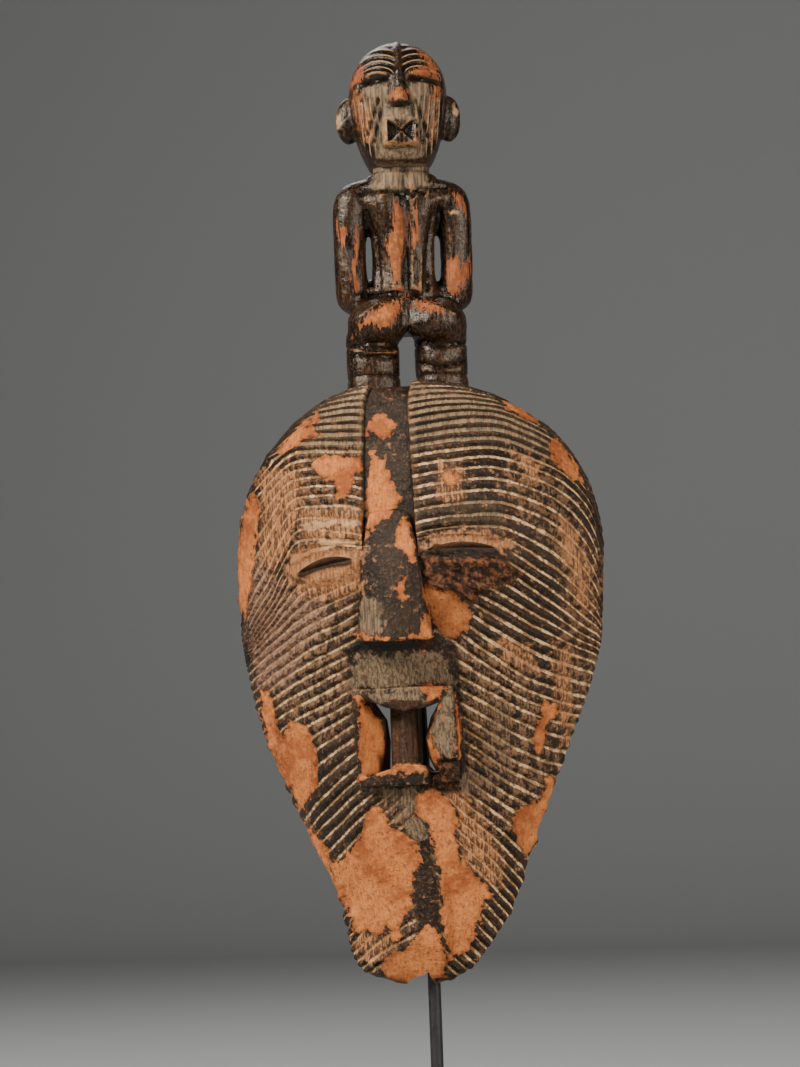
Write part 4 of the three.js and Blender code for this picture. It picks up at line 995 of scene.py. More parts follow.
# The head of the figure: one block with the body, with a small masked face to the front and one to the back.
# Each face repeats the mask below: a raised plate, slit eyes, a wedge nose, a square mouth and grooved cheeks.
HEAD_TURN = math.radians(15)
HEAD = [
    (579, 15, 22), (583, 22, 31), (592, 27, 35.5), (605, 31, 38), (620, 33.5, 39), (635, 35, 39),
    (648, 33, 36.5), (658, 27.5, 32), (666, 19, 24), (671, 9, 12),
]
HEAD_POWER = 2.5
HEAD_FINENESS = 1.3
EAR_X, EAR = 36, (0, 617, 9, 7, 17)
SMALL_SKIN = -37
SMALL_NOSE, SMALL_NOSE_BURIED = [(647, 1.5, -37, -39.5), (620, 8.5, -38.5, -47)], 8
LIPS_HALF, LIPS_HALF_HEIGHT, LIPS_HEIGHT = 10.5, 9, 600
LIPS_RISE, LIPS_BURIED, LIPS_SPREAD = 3.5, 14, 1.1
# Stripes of the small face: rings over each brow, uprights on each cheek
BROW_X, BROW_HEIGHT, BROW_WIDE, BROW_FLAT, BROW_STRIPE = 15, 632, 1.1, 0.85, 4.4
CHEEK_LEAN, CHEEK_TOP, CHEEK_STRIPE = 0.1, 628, 3.4
SMALL_RIDGE_SHARE, SMALL_GROOVE_DEPTH, SMALL_GROOVE_HALF = 0.22, 0.9, 0.34
PLATE_HEIGHTS, PLATE_HALVES = [580, 586, 598, 612, 626, 645], [14, 19.5, 25.5, 29.5, 32, 34]
PLATE_FOOT, PLATE_TOP, PLATE_RISE = (581, 583.5), (640, 652), 2.6
SMALL_SLIT_X, SMALL_SLIT_HEIGHT, SMALL_SLIT_SLOPE, SMALL_SLIT_DEPTH = 16, 637, 0.12, 3.2
SMALL_BROW_RISE, SMALL_BROW_HEIGHT = 1.3, 642
CREST_RISE, CREST_WIDTH, SMALL_MOUTH_DEPTH = 1.2, 1.6, 3


def lips_ring(scale, y):
    """The square outline of the lips at a depth."""
    corners = np.array([(-1, -1), (1, -1), (1, 1), (-1, 1)])
    across, up = corners.T
    heights = LIPS_HEIGHT + up * LIPS_HALF_HEIGHT * scale
    return np.stack([across * LIPS_HALF * scale, 0 * across + y, heights], -1)


def small_face_form(facing):
    """Nose and square mouth of one of the two faces of the small head."""
    nose_back = SMALL_SKIN + SMALL_NOSE_BURIED
    nose = loft([
        [(-half, nose_back, z), (half, nose_back, z), (half, flank, z), (0, ridge, z), (-half, flank, z)]
        for z, half, flank, ridge in SMALL_NOSE
    ])
    lips = loft([lips_ring(1, SMALL_SKIN - LIPS_RISE), lips_ring(LIPS_SPREAD, SMALL_SKIN + LIPS_BURIED)])
    points, faces = together(nose, lips)
    return turned_about(points, facing), faces


head = make("figure_head", *together(
    smooth_loft(HEAD, HEAD_POWER), small_face_form(0), small_face_form(math.pi),
    ball(-EAR_X, *EAR), ball(EAR_X, *EAR),
))
work(head, "REMESH", mode="VOXEL", voxel_size=HEAD_FINENESS * MM)
work(head, "SMOOTH", factor=0.5, iterations=4)
points = places_of(head)
hx, hy, hz = points.T
aside = np.abs(hx)
on_face = smooth_step(16, 26, np.abs(hy))

# Which stripe each point is on, and how striped it is
brow = np.hypot((aside - BROW_X) / BROW_WIDE, (hz - BROW_HEIGHT) * BROW_FLAT)
cheek = aside + (CHEEK_TOP - hz) * CHEEK_LEAN
small_stripe = np.where(hz > BROW_HEIGHT, brow / BROW_STRIPE, cheek / CHEEK_STRIPE)
on_brow = smooth_step(639, 642, hz) * smooth_step(2.5, 4, aside)
on_cheek = (1 - smooth_step(624, 628, hz)) * smooth_step(11.5, 13, aside) * smooth_step(584, 590, hz)
small_striped = np.clip(on_brow + on_cheek, 0, 1) * on_face * (1 - smooth_step(30, 33, aside))
small_gap = np.abs(small_stripe - np.round(small_stripe))
small_groove = 1 - np.clip((0.5 - small_gap) / SMALL_GROOVE_HALF, 0, 1) ** 2

# The mouth is an hourglass lying down, and the face a plate standing out of the head
off_lips = np.abs(hz - LIPS_HEIGHT)
in_mouth = smooth_step(-0.5, 1.5, aside - off_lips * 1.1) * (1 - smooth_step(8, 9, aside)) * (off_lips < 7.5)
plate_half = through_keys(PLATE_HEIGHTS, PLATE_HALVES, np.clip(hz, PLATE_HEIGHTS[0], PLATE_HEIGHTS[-1]))
plate = (1 - smooth_step(0, 2, aside - plate_half)) * smooth_step(*PLATE_FOOT, hz) * on_face
over_slit = hz - SMALL_SLIT_HEIGHT + SMALL_SLIT_SLOPE * (aside - SMALL_SLIT_X)
slit_from, slit_to = smooth_step(5, 7.5, aside), 1 - smooth_step(25, 28, aside)
brow_from, brow_to = smooth_step(4, 8, aside), 1 - smooth_step(25, 30, aside)
carving = (
    -SMALL_GROOVE_DEPTH * small_groove * small_striped
    - SMALL_SLIT_DEPTH * bell(over_slit, 1.8) * slit_from * slit_to * on_face
    + SMALL_BROW_RISE * bell(hz - SMALL_BROW_HEIGHT, 2) * brow_from * brow_to * on_face
    + CREST_RISE * bell(hx, CREST_WIDTH) * smooth_step(640, 646, hz)
    - SMALL_MOUTH_DEPTH * in_mouth * on_face
    + PLATE_RISE * plate * (1 - smooth_step(*PLATE_TOP, hz))
    + 0.3 * rough(points, 8) + 0.15 * rough(points, 3)
)
place(head, points + directions_of(head) * carving[:, None])

# Painted shade in the small mouth, the slits and under the nose, and a dark band on the bridge of the nose
bridge = bell(hx, 5.5) * smooth_step(628, 632, hz) * (1 - smooth_step(645, 650, hz))
small_nose_shadow = bell(hz - 618.5, 2) * bell(hx, 8)
small_shade = np.max([in_mouth, bell(over_slit, 2.4) * slit_from, 0.8 * bridge, small_nose_shadow], 0) * on_face
small_ridge, small_part = np.full_like(hx, SMALL_RIDGE_SHARE), np.full_like(hx, ON_FIGURE)
head_marks = np.stack([small_stripe, small_ridge, small_striped, small_part, small_shade], -1)
body_marks = np.tile([*NO_STRIPE, ON_FIGURE, 0], (len(body.data.vertices), 1))

# Crisp edges and creases that the knife left on the side that is seen, as lines in the picture
KNIFE_EDGES = [
    [(344, 240), (350, 280), (357, 291)], [(358, 240), (354, 282)],
    [(376, 205), (385, 225), (387, 255), (389, 282)], [(430, 200), (424, 230), (421, 267), (420, 292)],
    [(440, 200), (450, 227), (451, 255), (460, 272)], [(360, 317), (377, 304), (402, 299)],
    [(415, 301), (440, 306), (455, 315)], [(362, 200), (376, 205)], [(445, 196), (430, 200)],
]
KNIFE_CREASES = [
    [(406, 190), (409, 220), (407, 255), (407, 295)], [(411, 300), (409, 330), (407, 347)],
    [(365, 212), (368, 240), (371, 285)], [(440, 207), (437, 242), (440, 284)],
    [(362, 192), (392, 190), (406, 195)], [(412, 195), (420, 187), (446, 187)],
    [(352, 345), (370, 350), (400, 347)], [(417, 340), (440, 347), (465, 342)],
    [(351, 355), (400, 357)], [(415, 361), (440, 368), (465, 361)],
    [(366, 212), (376, 240), (379, 290)], [(433, 215), (429, 245), (428, 290)],
    [(364, 296), (380, 294), (405, 294)], [(410, 295), (440, 300)],
    [(382, 105), (374, 142)], [(378, 100), (368, 135)], [(411, 103), (422, 142)], [(416, 100), (428, 136)],
    [(388, 103), (412, 103)],
]
KNIFE_EDGE_RISE, KNIFE_EDGE_WIDTH = 0.9, 1.4
KNIFE_CREASE_DEPTH, KNIFE_CREASE_WIDTH = 2, 1.6

for part, angle in ((body, BODY_TURN), (head, HEAD_TURN)):
    place(part, turned_about(places_of(part), angle) + FIGURE_AT)
    points, directions = places_of(part), directions_of(part)
    seen = smooth_step(0, 0.4, directions @ view_back)
    cuts = seen * (
        KNIFE_EDGE_RISE * bell(beside_line(KNIFE_EDGES, points), KNIFE_EDGE_WIDTH)
        - KNIFE_CREASE_DEPTH * bell(beside_line(KNIFE_CREASES, points), KNIFE_CREASE_WIDTH)
    )
    place(part, points + directions * cuts[:, None])
carved_points = np.concatenate([block_points, places_of(body), places_of(head)])
carved_marks = np.concatenate([face_marks, hollow_marks, body_marks, head_marks])
carve(body, head, "UNION")
carve(mask, body, "UNION")

# The rod's socket: a short round bore up into the wood behind the forehead.
# The rod goes up into it with a little play, and the mask rests on the rod's end.
ROD_THICK, ROD_PLAY, ROD_BEHIND = 9, 0.3, -30
SOCKET_FOOT, SOCKET_TOP, SOCKET_SIDES = 354.3, 404.3, 24
socket_radius = ROD_THICK / 2 + ROD_PLAY
socket_turn = 2 * math.pi * np.arange(SOCKET_SIDES) / SOCKET_SIDES
bore_x, bore_y = socket_radius * np.cos(socket_turn), socket_radius * np.sin(socket_turn) + ROD_BEHIND
bore = [np.stack([bore_x, bore_y, 0 * socket_turn + z], -1) for z in (SOCKET_FOOT, SOCKET_TOP)]
carve(mask, make("rod_socket", *loft(bore)), "DIFFERENCE")

# The finish of the wood: black paint in the grooves, pale ridges, a darker patina on the figure.
# It is worn, chipped, dusty and rotted in places, as the picture shows, with painted shade in slits, clefts and
# under the noses and painted highlights on some edges and facets; on the sides not seen it is in keeping.
# Every point of the mesh keeps how far inside each kind of wear it lies, and the material reads that.

# More outlines of wear, as it is seen in the picture
# Rubbed pale: the lids and brows, where hands have polished the edge
PALE = [
    [(318, 541), (340, 538), (358, 541), (358, 549), (338, 547), (320, 549)],
    [(302, 524), (330, 521), (360, 523), (360, 527), (330, 526), (304, 530)],
    [(336, 116), (340, 112), (340, 130), (336, 130)],
    [(453, 104), (459, 112), (457, 119), (453, 112)],
    [(449, 211), (459, 211), (459, 214), (449, 214)],
]
# Dust and sheen: grey-tan, the paint rubbed matt; on the left side of the nose, above the right eye and beside
# the mouth on the right cheek it is a painted highlight
DUST_AND_SHEEN = [
    [(356, 656), (436, 650), (448, 668), (456, 686), (344, 692)],
    [(363, 692), (420, 687), (424, 700), (405, 711), (385, 705)],
    # Painted highlight: the lit left side of the nose
    [(362, 604), (372, 592), (381, 606), (382, 638), (358, 640)],
    [(410, 386), (470, 392), (520, 412), (552, 440), (560, 470), (520, 452), (470, 445), (412, 452)],
    [(300, 410), (340, 394), (362, 390), (362, 452), (330, 450), (300, 456)],
    # Painted sheen: beside the mouth on the right cheek
    [(490, 705), (512, 705), (512, 780), (495, 790), (470, 800), (450, 790), (480, 760)],
    # Painted sheen: above the right eye
    [(445, 500), (500, 496), (505, 530), (470, 524), (440, 528)],
    [(364, 90), (388, 84), (387, 108), (384, 140), (396, 146), (416, 146), (428, 138), (424, 156), (400, 160),
     (378, 158), (370, 142)],
    [(410, 84), (427, 80), (430, 110), (427, 140), (419, 146), (418, 120), (411, 106)],
    [(385, 108), (416, 108), (416, 120), (386, 120)],
    [(441, 696), (454, 692), (458, 752), (444, 759), (431, 745), (430, 728), (438, 706)],
    [(376, 162), (424, 163), (430, 188), (372, 190)],
    [(370, 790), (414, 787), (424, 806), (430, 834), (418, 840), (398, 826), (382, 804)],
]
# Thinned: the black paint in the grooves rubbed away in places
THINNED = [
    [(262, 600), (330, 596), (352, 610), (350, 640), (345, 690), (345, 735), (318, 745), (290, 720), (268, 690),
     (250, 650)],
    [(440, 700), (512, 690), (530, 760), (520, 830), (470, 840), (444, 790)],
    [(556, 500), (600, 560), (602, 640), (590, 720), (560, 740), (566, 600), (552, 540)],
    [(505, 440), (560, 470), (575, 520), (545, 540), (510, 500)],
    [(300, 440), (362, 440), (362, 520), (300, 530)],
    [(372, 788), (418, 786), (440, 850), (446, 950), (400, 950), (396, 830)],
    [(440, 640), (530, 640), (560, 760), (520, 830), (440, 790)],
]
# Faded: purple-brown, criss-crossed
FADED = [
    [(240, 545), (262, 560), (285, 590), (330, 606), (310, 640), (285, 690), (262, 690), (246, 640)],
]
# Browned: the bar of the mouth, its paint gone dark
BROWNED = [
    [(389, 700), (419, 700), (419, 763), (389, 763)],
]
# Painted shadow: a black band along the underside of the nose and just below it
UNDER_NOSE_SHADE = [
    [(353, 641), (390, 642), (434, 639), (436, 650), (353, 651)],
]
# Darkened bare wood: beside the nose it is painted shadow that the nose casts; at the end of the chin it is
# darker
DARKENED_BARE = [
    [(416, 576), (470, 582), (480, 640), (440, 650), (420, 622)],
    [(378, 925), (398, 938), (452, 946), (456, 992), (378, 992)],
]
DARKENING = 0.42
SLIT_WALL, SLIT_WALL_SHARE, SLIT_WALL_FROM = 5, 0.53, 1.5
SHARP_EDGE = math.radians(38)
SURELY, NEVER = 6, -6
FACING_VIEW = -0.15
BULGE_ROUNDS = 8
UNSEEN_WEAR, UNSEEN_WEAR_LENGTH, UNSEEN_WEAR_RARE = 16, 46, 7.5


def bulge(piece, points, directions, rounds):
    """How far each point stands out from the wood around it, in millimetres, below zero in a hollow."""
    ends = np.empty(len(piece.data.edges) * 2, np.int32)
    piece.data.edges.foreach_get("vertices", ends)
    near, far = ends.reshape(-1, 2).T
    start, end = np.append(near, far), np.append(far, near)
    count = np.bincount(start, minlength=len(points)).clip(1)[:, None]
    level = points
    for _ in range(rounds):
        around = [np.bincount(start, level[end, axis], minlength=len(points)) for axis in range(3)]
        level = (level + np.stack(around, -1) / count) / 2
    return np.sum((points - level) * directions, -1)


# Every point takes its stripe and its part from the nearest point of the carving
nearby = KDTree(len(carved_points))
for index, point in enumerate(carved_points):
    nearby.insert(point, index)
nearby.balance()
final = places_of(mask)
final_marks = carved_marks[[nearby.find(point)[1] for point in final]]
stripe, ridge, striped, part, painted_shade = final_marks.T
outside = (part != IN_HOLLOW) & (directions_of(mask) @ view_back > FACING_VIEW)
hidden = (part != IN_HOLLOW) & ~outside

# Painted shade: the walls of the eye slits are painted black
behind_skin = final[:, 1] - skin_y(final[:, 0], final[:, 2])
for inner_end, outer_end, _ in EYES:
    share = (final[:, 0] - inner_end[0]) / (outer_end[0] - inner_end[0])
    over = final[:, 2] + EYE_SLOPE * behind_skin - slit_line(np.clip(share, 0, 1), inner_end, outer_end)
    in_slit = (np.abs(over) < SLIT_WALL) & (np.abs(share - 0.5) < SLIT_WALL_SHARE)
    in_slit = in_slit & (behind_skin > SLIT_WALL_FROM) & (final[:, 1] < EYE_CUT_FROM)
    painted_shade = np.where(in_slit, 1, painted_shade)
# Painted shade: black under the nose, part-dark beside it, and darker at the end of the chin
seen_shade = np.maximum(
    smooth_step(-1, 1, wear(UNDER_NOSE_SHADE, final)),
    DARKENING * smooth_step(-4, 4, wear(DARKENED_BARE, final)),
)
painted_shade = np.maximum(painted_shade, seen_shade * outside)


def keep(name, values):
    """Keeps a value at each point of the mask for its material."""
    attribute = mask.data.attributes.new(name, "FLOAT", "POINT")
    attribute.data.foreach_set("value", values.astype(np.float32))


keep("stripe", stripe)
keep("ridge_share", ridge)
keep("striped", striped)
keep("inside", (part == IN_HOLLOW) * 1.0)
keep("figure", (part == ON_FIGURE) * 1.0)
keep("bulge", bulge(mask, final, directions_of(mask), BULGE_ROUNDS).clip(-1, 1))
keep("painted_shade", painted_shade)
weathered = UNSEEN_WEAR * rough(final, UNSEEN_WEAR_LENGTH) - UNSEEN_WEAR_RARE
for name, outlines, unseen in (
    ("bare", BARE, weathered), ("worn", WORN, weathered + 3), ("pale", PALE, NEVER), ("dust_and_sheen", DUST_AND_SHEEN, NEVER),
    ("faded", FADED, NEVER), ("rotted", ROTTED, NEVER), ("thinned", THINNED, weathered + 2),
    ("browned", BROWNED, NEVER),
):
    reach = np.where(outside, wear(outlines, final), np.where(hidden, unseen, NEVER))
    keep(name, reach.clip(NEVER, SURELY))
mask.data.shade_smooth()
mask.data.set_sharp_from_angle(angle=SHARP_EDGE)
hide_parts("mask")
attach(mask, "root")


def paint(red, green, blue):
    """A colour as it is seen, from 0 to 255, in the light that the shaders take."""
    seen = np.array([red, green, blue]) / 255
    return (*np.where(seen <= 0.04045, seen / 12.92, ((seen + 0.055) / 1.055) ** 2.4).tolist(), 1)


def add(tree, kind, *inputs, **settings):
    """A shader node with its settings and inputs in order; None leaves an input as it is."""
    node = tree.nodes.new(kind)
    for name, value in settings.items():
        setattr(node, name, value)
    for socket, value in zip([s for s in node.inputs if s.enabled], inputs):
        if isinstance(value, bpy.types.NodeSocket):
            tree.links.new(value, socket)
        elif value is not None:
            socket.default_value = value
    return node


def maths(tree, operation, *inputs):
    """One sum of numbers or values."""
    return add(tree, "ShaderNodeMath", *inputs, operation=operation).outputs[0]


def between(tree, value, low, high, start=0.0, end=1.0):
    """Goes softly from start to end as a value goes from low to high."""
    soft = add(tree, "ShaderNodeMapRange", value, low, high, start, end, interpolation_type="SMOOTHSTEP")
    return soft.outputs[0]


def blend_colours(tree, share, first, second):
    """The first colour, going over to the second with the share."""
    mix = tree.nodes.new("ShaderNodeMix")
    mix.data_type = "RGBA"
    for socket, value in zip((mix.inputs[0], mix.inputs[6], mix.inputs[7]), (share, first, second)):
        if isinstance(value, bpy.types.NodeSocket):
            tree.links.new(value, socket)
        else:
            socket.default_value = value
    return mix.outputs[2]


def mottled(tree, colour, texture, low, high, other, strength=1.0):
    """A colour that goes over to another one where a texture goes from low to high."""
    return blend_colours(tree, between(tree, texture, low, high, 0.0, strength), colour, other)


def noise(tree, where, scale, detail=4.0, roughness=0.55):
    """Cloudy unevenness; a scale of 1000 is about a millimetre."""
    return add(tree, "ShaderNodeTexNoise", where, scale, detail, roughness).outputs[0]


def kept(tree, name):
    """A value kept at the points of the mesh."""
    return add(tree, "ShaderNodeAttribute", attribute_name=name).outputs["Fac"]


# Long fine lines up a piece, the fibres of wood as well as the marks on drawn steel, placed in both materials
grain_lines = bpy.data.node_groups.new("grain_lines", "ShaderNodeTree")
for socket_name, socket_type in (
    ("Place", "NodeSocketVector"), ("Stretch", "NodeSocketVector"), ("Scale", "NodeSocketFloat"),
    ("Detail", "NodeSocketFloat"), ("Roughness", "NodeSocketFloat"),
):
    grain_lines.interface.new_socket(socket_name, in_out="INPUT", socket_type=socket_type)
grain_lines.interface.new_socket("Lines", in_out="OUTPUT", socket_type="NodeSocketFloat")
given = grain_lines.nodes.new("NodeGroupInput").outputs
stretched = add(grain_lines, "ShaderNodeMapping", given["Place"], None, None, given["Stretch"]).outputs[0]
lines = noise(grain_lines, stretched, given["Scale"], given["Detail"], given["Roughness"])
add(grain_lines, "NodeGroupOutput", lines)


def grain_along(tree, where, stretch, scale, detail, roughness):
    """The grain group, placed in a material with its own values."""
    group = tree.nodes.new("ShaderNodeGroup")
    group.node_tree = grain_lines
    tree.links.new(where, group.inputs["Place"])
    group.inputs["Stretch"].default_value = (1.0, 1.0, stretch)
    group.inputs["Scale"].default_value = scale
    group.inputs["Detail"].default_value = detail
    group.inputs["Roughness"].default_value = roughness
    return group.outputs["Lines"]


RIDGE_TAN, RIDGE_PALE, RIDGE_DIRT = paint(146, 108, 70), paint(230, 192, 142), paint(92, 66, 46)
BLACK_PAINT, BROWNISH_PAINT, PAINT_SPECKS = paint(20, 14, 10), paint(42, 29, 20), paint(96, 66, 44)
PAINT_LOST = paint(146, 106, 74)
PATINA_BLACK, PATINA_BROWN = paint(12, 8, 6), paint(38, 26, 17)
PATINA_FIBRES, PATINA_SPECKS = paint(78, 54, 34), paint(120, 76, 46)
SMALL_RIDGE, SMALL_GROOVE = paint(150, 120, 86), paint(16, 11, 8)
DUST_SHEEN_DARK, DUST_SHEEN_PALE = paint(92, 74, 56), paint(142, 119, 92)
FADED_DARK, FADED_PALE = paint(88, 60, 50), paint(182, 138, 110)
WORN_TAN, WORN_FIBRES, WORN_SPECKS, WORN_GROOVE = (
    paint(202, 138, 88), paint(146, 92, 56), paint(96, 62, 40), paint(52, 36, 26)
)
POLISHED, RUBBED_AND_LIT, HOLLOW_SHADE = paint(222, 174, 126), paint(176, 124, 82), paint(14, 10, 8)
BARE_RED, BARE_ORANGE, BARE_BRIGHT = paint(162, 86, 42), paint(210, 126, 66), paint(226, 150, 90)
BARE_FIBRES, BARE_SPECKS = paint(150, 82, 46), paint(112, 62, 36)
BARE_ON_FIGURE, BARE_IN_SHADE = paint(112, 60, 34), paint(54, 30, 19)
BARE_BORDER, PAINT_EDGE_AND_SHADOW = paint(134, 72, 38), paint(46, 28, 18)
ROT_BROWN, ROT_TAN = paint(36, 22, 15), paint(120, 73, 45)
ROT_HOLES, ROT_IN_SHADE = paint(16, 10, 7), paint(8, 5, 4)
BROWNED_PALE, BROWNED_DARK = paint(70, 42, 22), paint(36, 21, 12)
SHADE_BLACK = paint(13, 9, 7)
RAW_DARK, RAW_PALE = paint(58, 38, 26), paint(110, 76, 50)
WARM_GLOSS = (1, 0.86, 0.72, 1)
BUMP_HEIGHT = 0.0012

wood = bpy.data.materials.new("carved_wood")
wood.use_nodes = True
tree = wood.node_tree
tree.nodes.clear()
where = add(tree, "ShaderNodeTexCoord").outputs["Object"]
fine = noise(tree, where, 1100.0, 4.0, 0.6)
speckle = noise(tree, where, 420.0, 4.0, 0.6)
middling = noise(tree, where, 180.0, 4.0, 0.6)
broad = noise(tree, where, 32.0, 3.0)
grain = grain_along(tree, where, 0.1, 620.0, 5.0, 0.65)
is_striped, is_figure, bulging = kept(tree, "striped"), kept(tree, "figure"), kept(tree, "bulge")


def ragged_by(texture, amount, value):
    """A value made uneven by a texture."""
    return maths(tree, "MULTIPLY_ADD", maths(tree, "SUBTRACT", texture, 0.5), amount, value)


def on_figure_or(figure_value, mask_value):
    """One value on the mask and another on the figure."""
    return between(tree, is_figure, 0.0, 1.0, mask_value, figure_value)


def torn(name, ragged):
    """How far inside a kind of wear a place is, its edge torn by the noise."""
    torn_by = ragged_by(speckle, 0.22, maths(tree, "SUBTRACT", middling, 0.5))
    torn_by = maths(tree, "MULTIPLY", torn_by, on_figure_or(0.4, 1.0))
    return maths(tree, "MULTIPLY_ADD", torn_by, ragged, kept(tree, name))


def patch(name, ragged, soft, strength=1.0):
    """The share of a kind of wear, soft over some millimetres of its edge."""
    return between(tree, torn(name, ragged), -soft, soft, 0.0, strength)


# Painted face: pale ridges, and black paint in the grooves that has come off in flakes
off_ridge = ragged_by(speckle, 0.3, maths(tree, "PINGPONG", kept(tree, "stripe"), 0.5))
half_ridge = maths(tree, "MULTIPLY", kept(tree, "ridge_share"), 0.5)
in_groove = between(tree, maths(tree, "SUBTRACT", off_ridge, half_ridge), -0.035, 0.015)
ridge_colour = mottled(tree, RIDGE_TAN, middling, 0.43, 0.57, RIDGE_PALE)
ridge_colour = mottled(tree, ridge_colour, speckle, 0.57, 0.66, RIDGE_DIRT)
black = mottled(tree, BLACK_PAINT, broad, 0.42, 0.58, BROWNISH_PAINT)
black = mottled(tree, black, speckle, 0.55, 0.62, PAINT_SPECKS, 0.6)
lost = maths(tree, "MULTIPLY", between(tree, torn("thinned", 40.0), -2.0, 3.0, 0.04, 0.58), is_striped)
lost = maths(tree, "MULTIPLY", lost, between(tree, maths(tree, "ADD", middling, grain), 0.98, 1.05))
black = blend_colours(tree, lost, black, PAINT_LOST)
colour = blend_colours(tree, is_striped, black, blend_colours(tree, in_groove, ridge_colour, black))

# Figure: a near-black patina, with thin pale lines on its small faces
patina = mottled(tree, PATINA_BLACK, broad, 0.42, 0.58, PATINA_BROWN)
patina = mottled(tree, patina, grain, 0.5, 0.62, PATINA_FIBRES, 0.7)
patina = mottled(tree, patina, speckle, 0.6, 0.68, PATINA_SPECKS, 0.6)
patina = blend_colours(tree, is_striped, patina, blend_colours(tree, in_groove, SMALL_RIDGE, SMALL_GROOVE))
colour = blend_colours(tree, is_figure, colour, patina)

# Dust and painted sheen: grey-tan fibres, with the grooves showing through
dust_and_sheen = patch("dust_and_sheen", 26.0, 2.0, 0.85)
dust_and_sheen_colour = mottled(tree, DUST_SHEEN_DARK, grain, 0.43, 0.57, DUST_SHEEN_PALE)
dust_and_sheen_lines = maths(tree, "MULTIPLY", in_groove, is_striped)
dust_and_sheen_lines = maths(tree, "MULTIPLY", dust_and_sheen_lines, on_figure_or(0.5, 0.85))
colour = blend_colours(tree, dust_and_sheen, colour, blend_colours(tree, dust_and_sheen_lines, dust_and_sheen_colour, black))

# Faded and worn places, and edges that hands have polished
faded_colour = mottled(tree, FADED_DARK, speckle, 0.44, 0.56, FADED_PALE)
colour = blend_colours(tree, patch("faded", 30.0, 4.0, 0.6), colour, faded_colour)
worn_colour = mottled(tree, WORN_TAN, grain, 0.42, 0.6, WORN_FIBRES)
worn_colour = mottled(tree, worn_colour, speckle, 0.56, 0.66, WORN_SPECKS, 0.7)
worn_lines = maths(tree, "MULTIPLY", maths(tree, "MULTIPLY", in_groove, is_striped), 0.7)
worn_lines = maths(tree, "MULTIPLY", worn_lines, between(tree, grain, 0.44, 0.54))
worn_colour = blend_colours(tree, worn_lines, worn_colour, WORN_GROOVE)
colour = blend_colours(tree, patch("worn", 34.0, 3.5, 0.8), colour, worn_colour)
colour = blend_colours(tree, patch("pale", 14.0, 1.2, 0.6), colour, POLISHED)

# Rubbed edges, lighter as wear and as painted highlight, and painted shade darkening the clefts, where there
# are no stripes
rubbed_and_lit = between(tree, ragged_by(speckle, 1.2, bulging), 0.45, 0.95, 0.0, 0.5)
plain_or_figure = maths(tree, "MAXIMUM", is_figure, maths(tree, "SUBTRACT", 1.0, is_striped))
colour = blend_colours(tree, maths(tree, "MULTIPLY", rubbed_and_lit, plain_or_figure), colour, RUBBED_AND_LIT)
painted_hollow_shade = maths(tree, "MULTIPLY", between(tree, bulging, -0.12, -0.5), plain_or_figure)
colour = blend_colours(tree, maths(tree, "MULTIPLY", painted_hollow_shade, 0.75), colour, HOLLOW_SHADE)

# Bare wood: orange, streaked along the grain on the figure, with a dark border on either side of its edge; on
# the paint's side the border is the torn edge of the paint, partly a painted shadow of its step
bare_wood = mottled(tree, BARE_RED, broad, 0.4, 0.6, BARE_ORANGE)
bare_wood = mottled(tree, bare_wood, grain, 0.48, 0.6, BARE_FIBRES, 0.5)
bare_wood = mottled(tree, bare_wood, speckle, 0.58, 0.66, BARE_SPECKS, 0.7)
bare_wood = mottled(tree, bare_wood, middling, 0.5, 0.64, BARE_BRIGHT, 0.3)
darker_on_figure = maths(tree, "MULTIPLY", is_figure, between(tree, middling, 0.42, 0.58, 0.25, 0.85))
bare_wood = blend_colours(tree, darker_on_figure, bare_wood, BARE_ON_FIGURE)
# Painted shade in the hollows of the bare wood
bare_wood = blend_colours(tree, maths(tree, "MULTIPLY", painted_hollow_shade, 0.8), bare_wood, BARE_IN_SHADE)
streaks = maths(tree, "MULTIPLY", maths(tree, "SUBTRACT", grain, 0.52), is_figure)
bare_reach = maths(tree, "MULTIPLY_ADD", streaks, 22.0, torn("bare", 15.0))
is_bare = between(tree, bare_reach, -0.3, 0.3)
bare_wood = mottled(tree, bare_wood, bare_reach, 3.5, 0.0, BARE_BORDER, 0.5)
colour = mottled(tree, colour, bare_reach, -1.6, -0.1, PAINT_EDGE_AND_SHADOW, 0.7)
colour = blend_colours(tree, is_bare, colour, bare_wood)

# Browned paint, rot and painted shade, then the raw wood of the hollow
browned = mottled(tree, BROWNED_PALE, grain, 0.42, 0.6, BROWNED_DARK)
colour = blend_colours(tree, patch("browned", 4.0, 0.6, 0.95), colour, browned)
rotten = mottled(tree, ROT_BROWN, middling, 0.42, 0.6, ROT_TAN)
rotten = mottled(tree, rotten, speckle, 0.5, 0.42, ROT_HOLES, 0.8)
# Painted shade in the hollows of the rot
rotten = blend_colours(tree, painted_hollow_shade, rotten, ROT_IN_SHADE)
is_rotted = patch("rotted", 18.0, 0.8)
colour = blend_colours(tree, is_rotted, colour, rotten)
# Painted shade: near-black in the slits, the small mouth and under the noses, part-dark beside the nose; also a
# dark band on the small nose's bridge and darker at the chin's end
colour = mottled(tree, colour, kept(tree, "painted_shade"), 0.25, 0.7, SHADE_BLACK, 0.92)
is_inside = kept(tree, "inside")
colour = blend_colours(tree, is_inside, colour, mottled(tree, RAW_DARK, grain, 0.42, 0.58, RAW_PALE))

